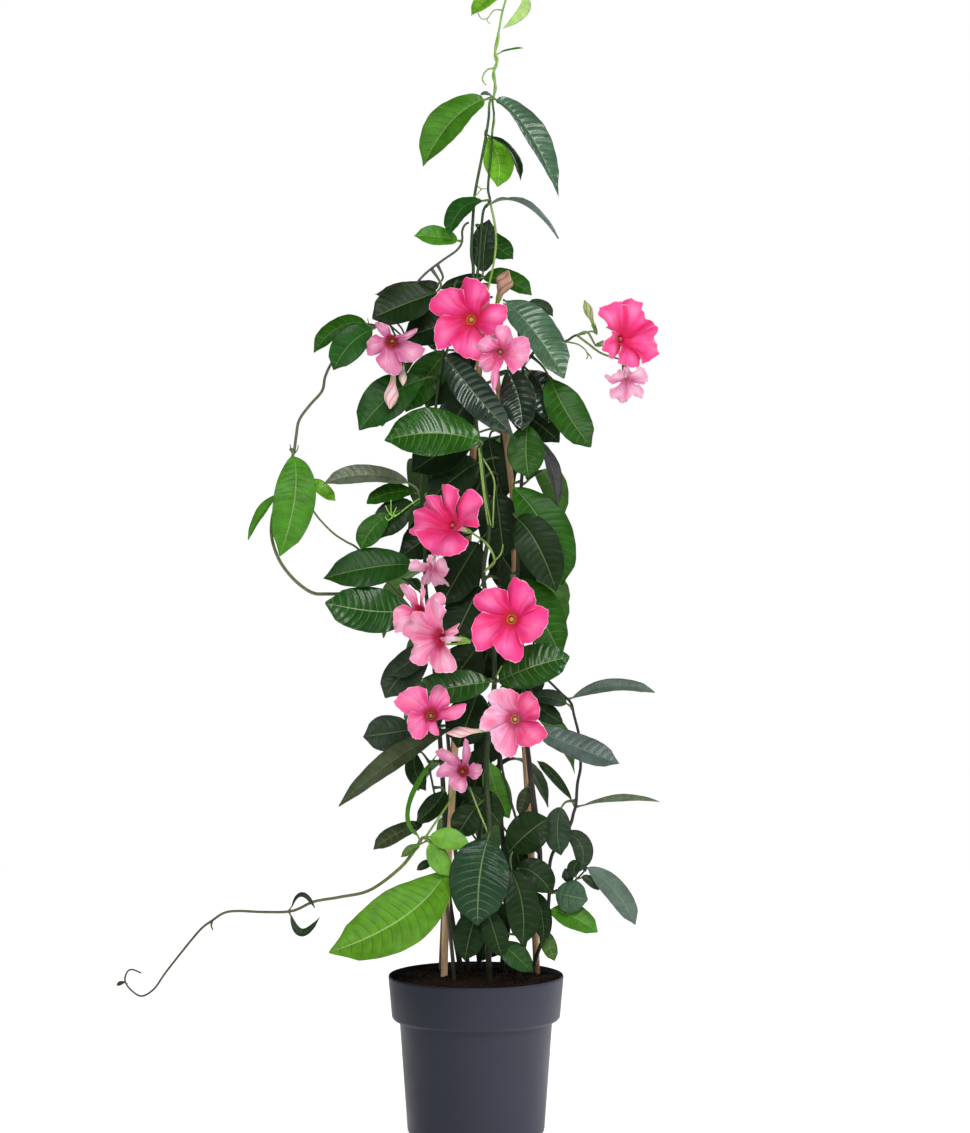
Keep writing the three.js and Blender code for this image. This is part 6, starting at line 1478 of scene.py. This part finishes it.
def ringsAbout(profile, sides, centre, axes, swell=None):
    # rings of a body of revolution about the forward axis: profile is [along, radius]
    angle = np.arange(sides) * 2 * math.pi / sides
    out = np.cos(angle)[:, None] * axes["right"] + np.sin(angle)[:, None] * axes["up"]
    wide = profile[:, 1:] * (1 if swell is None else swell)
    return centre + profile[:, :1, None] * axes["forward"] + wide[..., None] * out


def corollaTube(bloom, look):
    # slender outside from the calyx up to the lobes, then over the lip and down into the throat
    centre, radius, axes = bloom["centre"], bloom["radius"], bloom["axes"]
    profile = np.array(corollaShape["tubeProfile"]) * radius
    inner = profile[1:-1]
    rings = ringsAbout(inner, corollaShape["tubeSides"], centre, axes)
    along = inner[:, 0] / radius
    outside = np.arange(len(inner)) < corollaShape["tubeOutside"]
    outer = blendTo(linear(tubeGreen), look["glow"], ramp(along, -0.75, -0.3))
    deep = blendTo(look["throat"], look["ring"], ramp(along, -0.2, -0.08))
    colour = np.where(outside[:, None], outer, deep)
    lobe = np.stack([along * 0, along, along * 0], axis=1)
    ends = [centre + z * axes["forward"] for z in profile[[0, -1], 0]]
    return capped(rings, *ends, tone=colour, lobe=lobe)


# Buds: petals wound round each other, so five ridges spiral up a spindle
budShape = {
    "profile": [[0, 0.22], [0.08, 0.34], [0.3, 0.42], [0.46, 0.78], [0.62, 1], [0.75, 0.88], [0.88, 0.48],
                [0.97, 0.14]],
    "end": 0.97, "ridges": 5, "twist": 0.55, "ridge": 0.1, "crumple": 0.22, "rings": 40, "sides": 40,
    # start and end of the smooth steps that turn low to high and lay the stripes in the furrows
    "blush": [0.05, 0.4], "furrow": [0.05, 0.6], "stripesFrom": [0.1, 0.4], "ridgeLevel": 0.7,
}
budTones = {
    "creamPink": {"low": "#dcd9a4", "high": "#f1d3cf", "stripe": "#e58aa6"},
    "cream": {"low": "#d5dc9c", "high": "#ece6cf", "stripe": "#e9b9bb"},
    "greenBud": {"low": "#7f9c45", "high": "#aab978", "stripe": "#6c8040"},
    "withered": {"low": "#6d8a3a", "high": "#b48f78", "stripe": "#805a4a"},
}


def budPart(bud, tone):
    # a body of revolution whose radius swells with the sine of an angle that winds along it
    look = {key: linear(colour) for key, colour in budTones[tone].items()}
    length = np.linalg.norm(bud["tip"] - bud["base"])
    knots = np.array(budShape["profile"])
    share = np.linspace(0, budShape["end"], budShape["rings"])
    wide = np.interp(share, knots[:, 0], knots[:, 1])
    # radii smoothed over five rings at a time
    wide = np.convolve(np.pad(wide, 2, mode="edge"), np.ones(5) / 5, "valid")
    angle = np.arange(budShape["sides"]) * 2 * math.pi / budShape["sides"]
    wound = budShape["ridges"] * (angle[None, :] - budShape["twist"] * 2 * math.pi * share[:, None])
    ridge = np.abs(np.sin(wound / 2))
    crumple = 0.0
    if tone == "withered":
        crumple = budShape["crumple"] * np.sin(3 * angle[None, :] + 9 * share[:, None]) * share[:, None]
    swell = 1 + budShape["ridge"] * (ridge - budShape["ridgeLevel"]) + crumple
    profile = np.stack([share * length, wide * bud["radius"]], axis=1)
    rings = ringsAbout(profile, budShape["sides"], bud["base"], bud["axes"], swell)
    colour = blendTo(look["low"], look["high"], ramp(share, *budShape["blush"]))
    colour = colour[:, None] + 0 * ridge[..., None]
    stripes = (1 - ramp(ridge, *budShape["furrow"])) * ramp(share, *budShape["stripesFrom"])[:, None]
    colour = blendTo(colour, look["stripe"], stripes)
    lobe = np.stack([wound / 6, share[:, None] + 0 * wound, 0 * wound], axis=-1)
    return capped(rings, bud["base"], bud["tip"], tone=colour, lobe=lobe)


# Everything grows: stems and twigs first, then blooms and buds, then leaves
woody = {name: [] for name in stems}
green = {name: [] for name in stems}
ribsOf = {}
barkOf = {}

for name, stem in stems.items():
    barkOf[name] = lambda path, bark=stem["bark"]: barkTone(bark, path)
    places = at(stem["points"])
    woody[name].append(bar(places, stem["radius"], barkOf[name], growth["ringEvery"], 12))
    ribs = coarseRibs(places)
    for radii, points in stem["twigs"]:
        places = at(points)
        places[0] = nearest(ribs, places[0])
        thin = radii[0] < growth["thinUnder"]
        plainTone = lambda path, tone=linear(stem["stalk"]): np.broadcast_to(tone, (len(path), 3))
        toneOf = plainTone if thin else barkOf[name]
        woody[name].append(bar(places, radii, toneOf, growth["ringEvery"], 8 if thin else 10))
        ribs = np.vstack([ribs, coarseRibs(places)])
    ribsOf[name] = ribs

for name, stemName, centre, radius, look, spin, form, lobes, places, tone in blooms:
    axes = bloomAxes(facing(look))
    bloom = {"centre": at(centre)[0], "radius": radius, "spin": spin, "form": form, "lobes": lobes,
             "axes": axes}
    end = bloom["centre"] - axes["forward"] * corollaShape["tube"] * radius
    woody[stemName] += stalkParts(places, end, axes, stemName, "bloom")
    makePiece(name + "_corolla", [corollaParts(bloom, tone)], [petalSkin], name)

for name, stemName, base, tip, radius, places, tone in buds:
    bud = {"base": at(base)[0], "tip": at(tip)[0], "radius": radius}
    bud["axes"] = bloomAxes(unit(bud["tip"] - bud["base"]), (0, -1, 0))
    woody[stemName] += stalkParts(places, bud["base"], bud["axes"], stemName, "bud")
    makePiece(name + "_petals", [[budPart(bud, tone)]], [petalSkin], name)
print("blooms and buds made")

corners = {}
for name in stems:
    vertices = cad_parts[name].data.vertices
    corners[name] = kdtree.KDTree(len(vertices))
    for i, vertex in enumerate(vertices):
        corners[name].insert(vertex.co, i)
    corners[name].balance()

leafCount = 0
worst = 0.0


def growLeaf(name, shapeFor, index):
    # a blade joins the green of its stem and its petiole joins the wood
    miss, leaf = bentLeaf(shapeFor, corners[name])
    green[name].append(bladePart(leaf, index))
    woody[name].append(petiolePart(leaf, ribsOf[name], barkOf[name]))
    return miss


for name, stem in stems.items():
    for row in stem["leaves"]:
        worst = max(worst, growLeaf(name, placedLeaf(name, row, leafCount), leafCount))
        leafCount += 1
for name, filler in fillers.items():
    for i in range((filler["to"] - filler["from"]) // filler["step"] + 1):
        height = filler["from"] + i * filler["step"]
        stemPoint = ribsOf[name][np.argmin(np.abs(ribsOf[name][:, 2] - height))]
        for heading in filler["headings"][i % len(filler["headings"])]:
            shapeFor = fillerLeaf(stemPoint, heading, filler["length"], leafCount)
            worst = max(worst, growLeaf(name, shapeFor, leafCount))
            leafCount += 1
print(leafCount, "leaves made, worst fit to the solids", round(worst / metre, 2), "mm")

for name in stems:
    makePiece(name + "_growth", [woody[name], green[name]], [barkSkin, leafSkin], name)
print("stems and leaves made")

studio = {
    "floorSize": 5.0, "floorGlow": 0.77, "roomLight": 0.12, "roomColour": (0.94, 0.97, 1, 1),
    "aim": [0.0, 0.0, 0.62], "lensMm": 82.96, "filmMm": 36,
    "lamps": [
        # heading from the viewer's side, height angle, distance, size, power; all aimed at the middle
        [15, 36, 2.6, 0.8, 26], [-12, 20, 2.7, 0.6, 14], [-38, 42, 2.6, 0.7, 5], [68, 22, 2.4, 0.7, 15],
        [142, 34, 2.3, 0.9, 12], [-135, 38, 2.4, 0.9, 4],
    ],
}


def makeStudio():
    # a paper floor, six square lamps at their headings and distances from the aim, and the camera
    scene = bpy.context.scene
    half = studio["floorSize"] / 2
    mesh = bpy.data.meshes.new("floor")
    mesh.from_pydata([(-half, -half, 0), (half, -half, 0), (half, half, 0), (-half, half, 0)], [],
                     [(0, 1, 2, 3)])
    floor = bpy.data.objects.new("floor", mesh)
    scene.collection.objects.link(floor)
    material, tree = newMaterial("paperSweep")
    place = add(tree, "TexCoord", out=3)
    fibre = add(tree, "TexNoise", Vector=place, Scale=40.0, Detail=2.0)
    paper = add(tree, "ValToRGB", {"ramp": [(0.3, rgba("#eeeeee")), (0.7, rgba("#f3f3f3"))]}, i0=fibre)
    # lit through from below, so that the sweep ends in plain white
    surface = add(tree, "BsdfPrincipled", Base_Color=paper, Roughness=0.9, Specular_IOR_Level=0.1,
                  Emission_Color=(1, 1, 1, 1), Emission_Strength=studio["floorGlow"])
    add(tree, "OutputMaterial", Surface=surface)
    mesh.materials.append(material)

    aim = np.array(studio["aim"])
    for i, (heading, height, distance, size, power) in enumerate(studio["lamps"]):
        away = facing([heading, height])
        light = bpy.data.lights.new(f"softbox_{i}", "AREA")
        light.shape, light.size, light.energy = "SQUARE", size, power
        lamp = bpy.data.objects.new(f"softbox_{i}", light)
        scene.collection.objects.link(lamp)
        lamp.location = aim + distance * away
        lamp.rotation_euler = (math.acos(away[2]), 0, math.atan2(away[0], -away[1]))

    # white to the camera, dimmer as a light, so that the inside of the plant stays dark
    world = bpy.data.worlds.new("whiteRoom")
    world.use_nodes = True
    scene.world = world
    tree = world.node_tree
    tree.nodes.clear()
    seen = add(tree, "Background", Color=(1, 1, 1, 1), Strength=1.0)
    room = add(tree, "Background", Color=studio["roomColour"], Strength=studio["roomLight"])
    toCamera = add(tree, "LightPath", out=0)
    both = add(tree, "MixShader", i0=toCamera, i1=room, i2=seen)
    add(tree, "OutputWorld", Surface=both)

    camera = bpy.data.cameras.new("viewer")
    camera.lens, camera.sensor_width, camera.sensor_fit = studio["lensMm"], studio["filmMm"], "AUTO"
    camera.clip_start, camera.clip_end = 0.05, 60
    viewer = bpy.data.objects.new("viewer", camera)
    scene.collection.objects.link(viewer)
    viewer.location = (eye["x"] * metre, -eye["distance"] * metre, eye["z"] * metre)
    viewer.rotation_euler = (math.radians(90), 0, 0)
    scene.camera = viewer
    scene.view_settings.view_transform = "Standard"
    scene.view_settings.look = "None"


makeStudio()
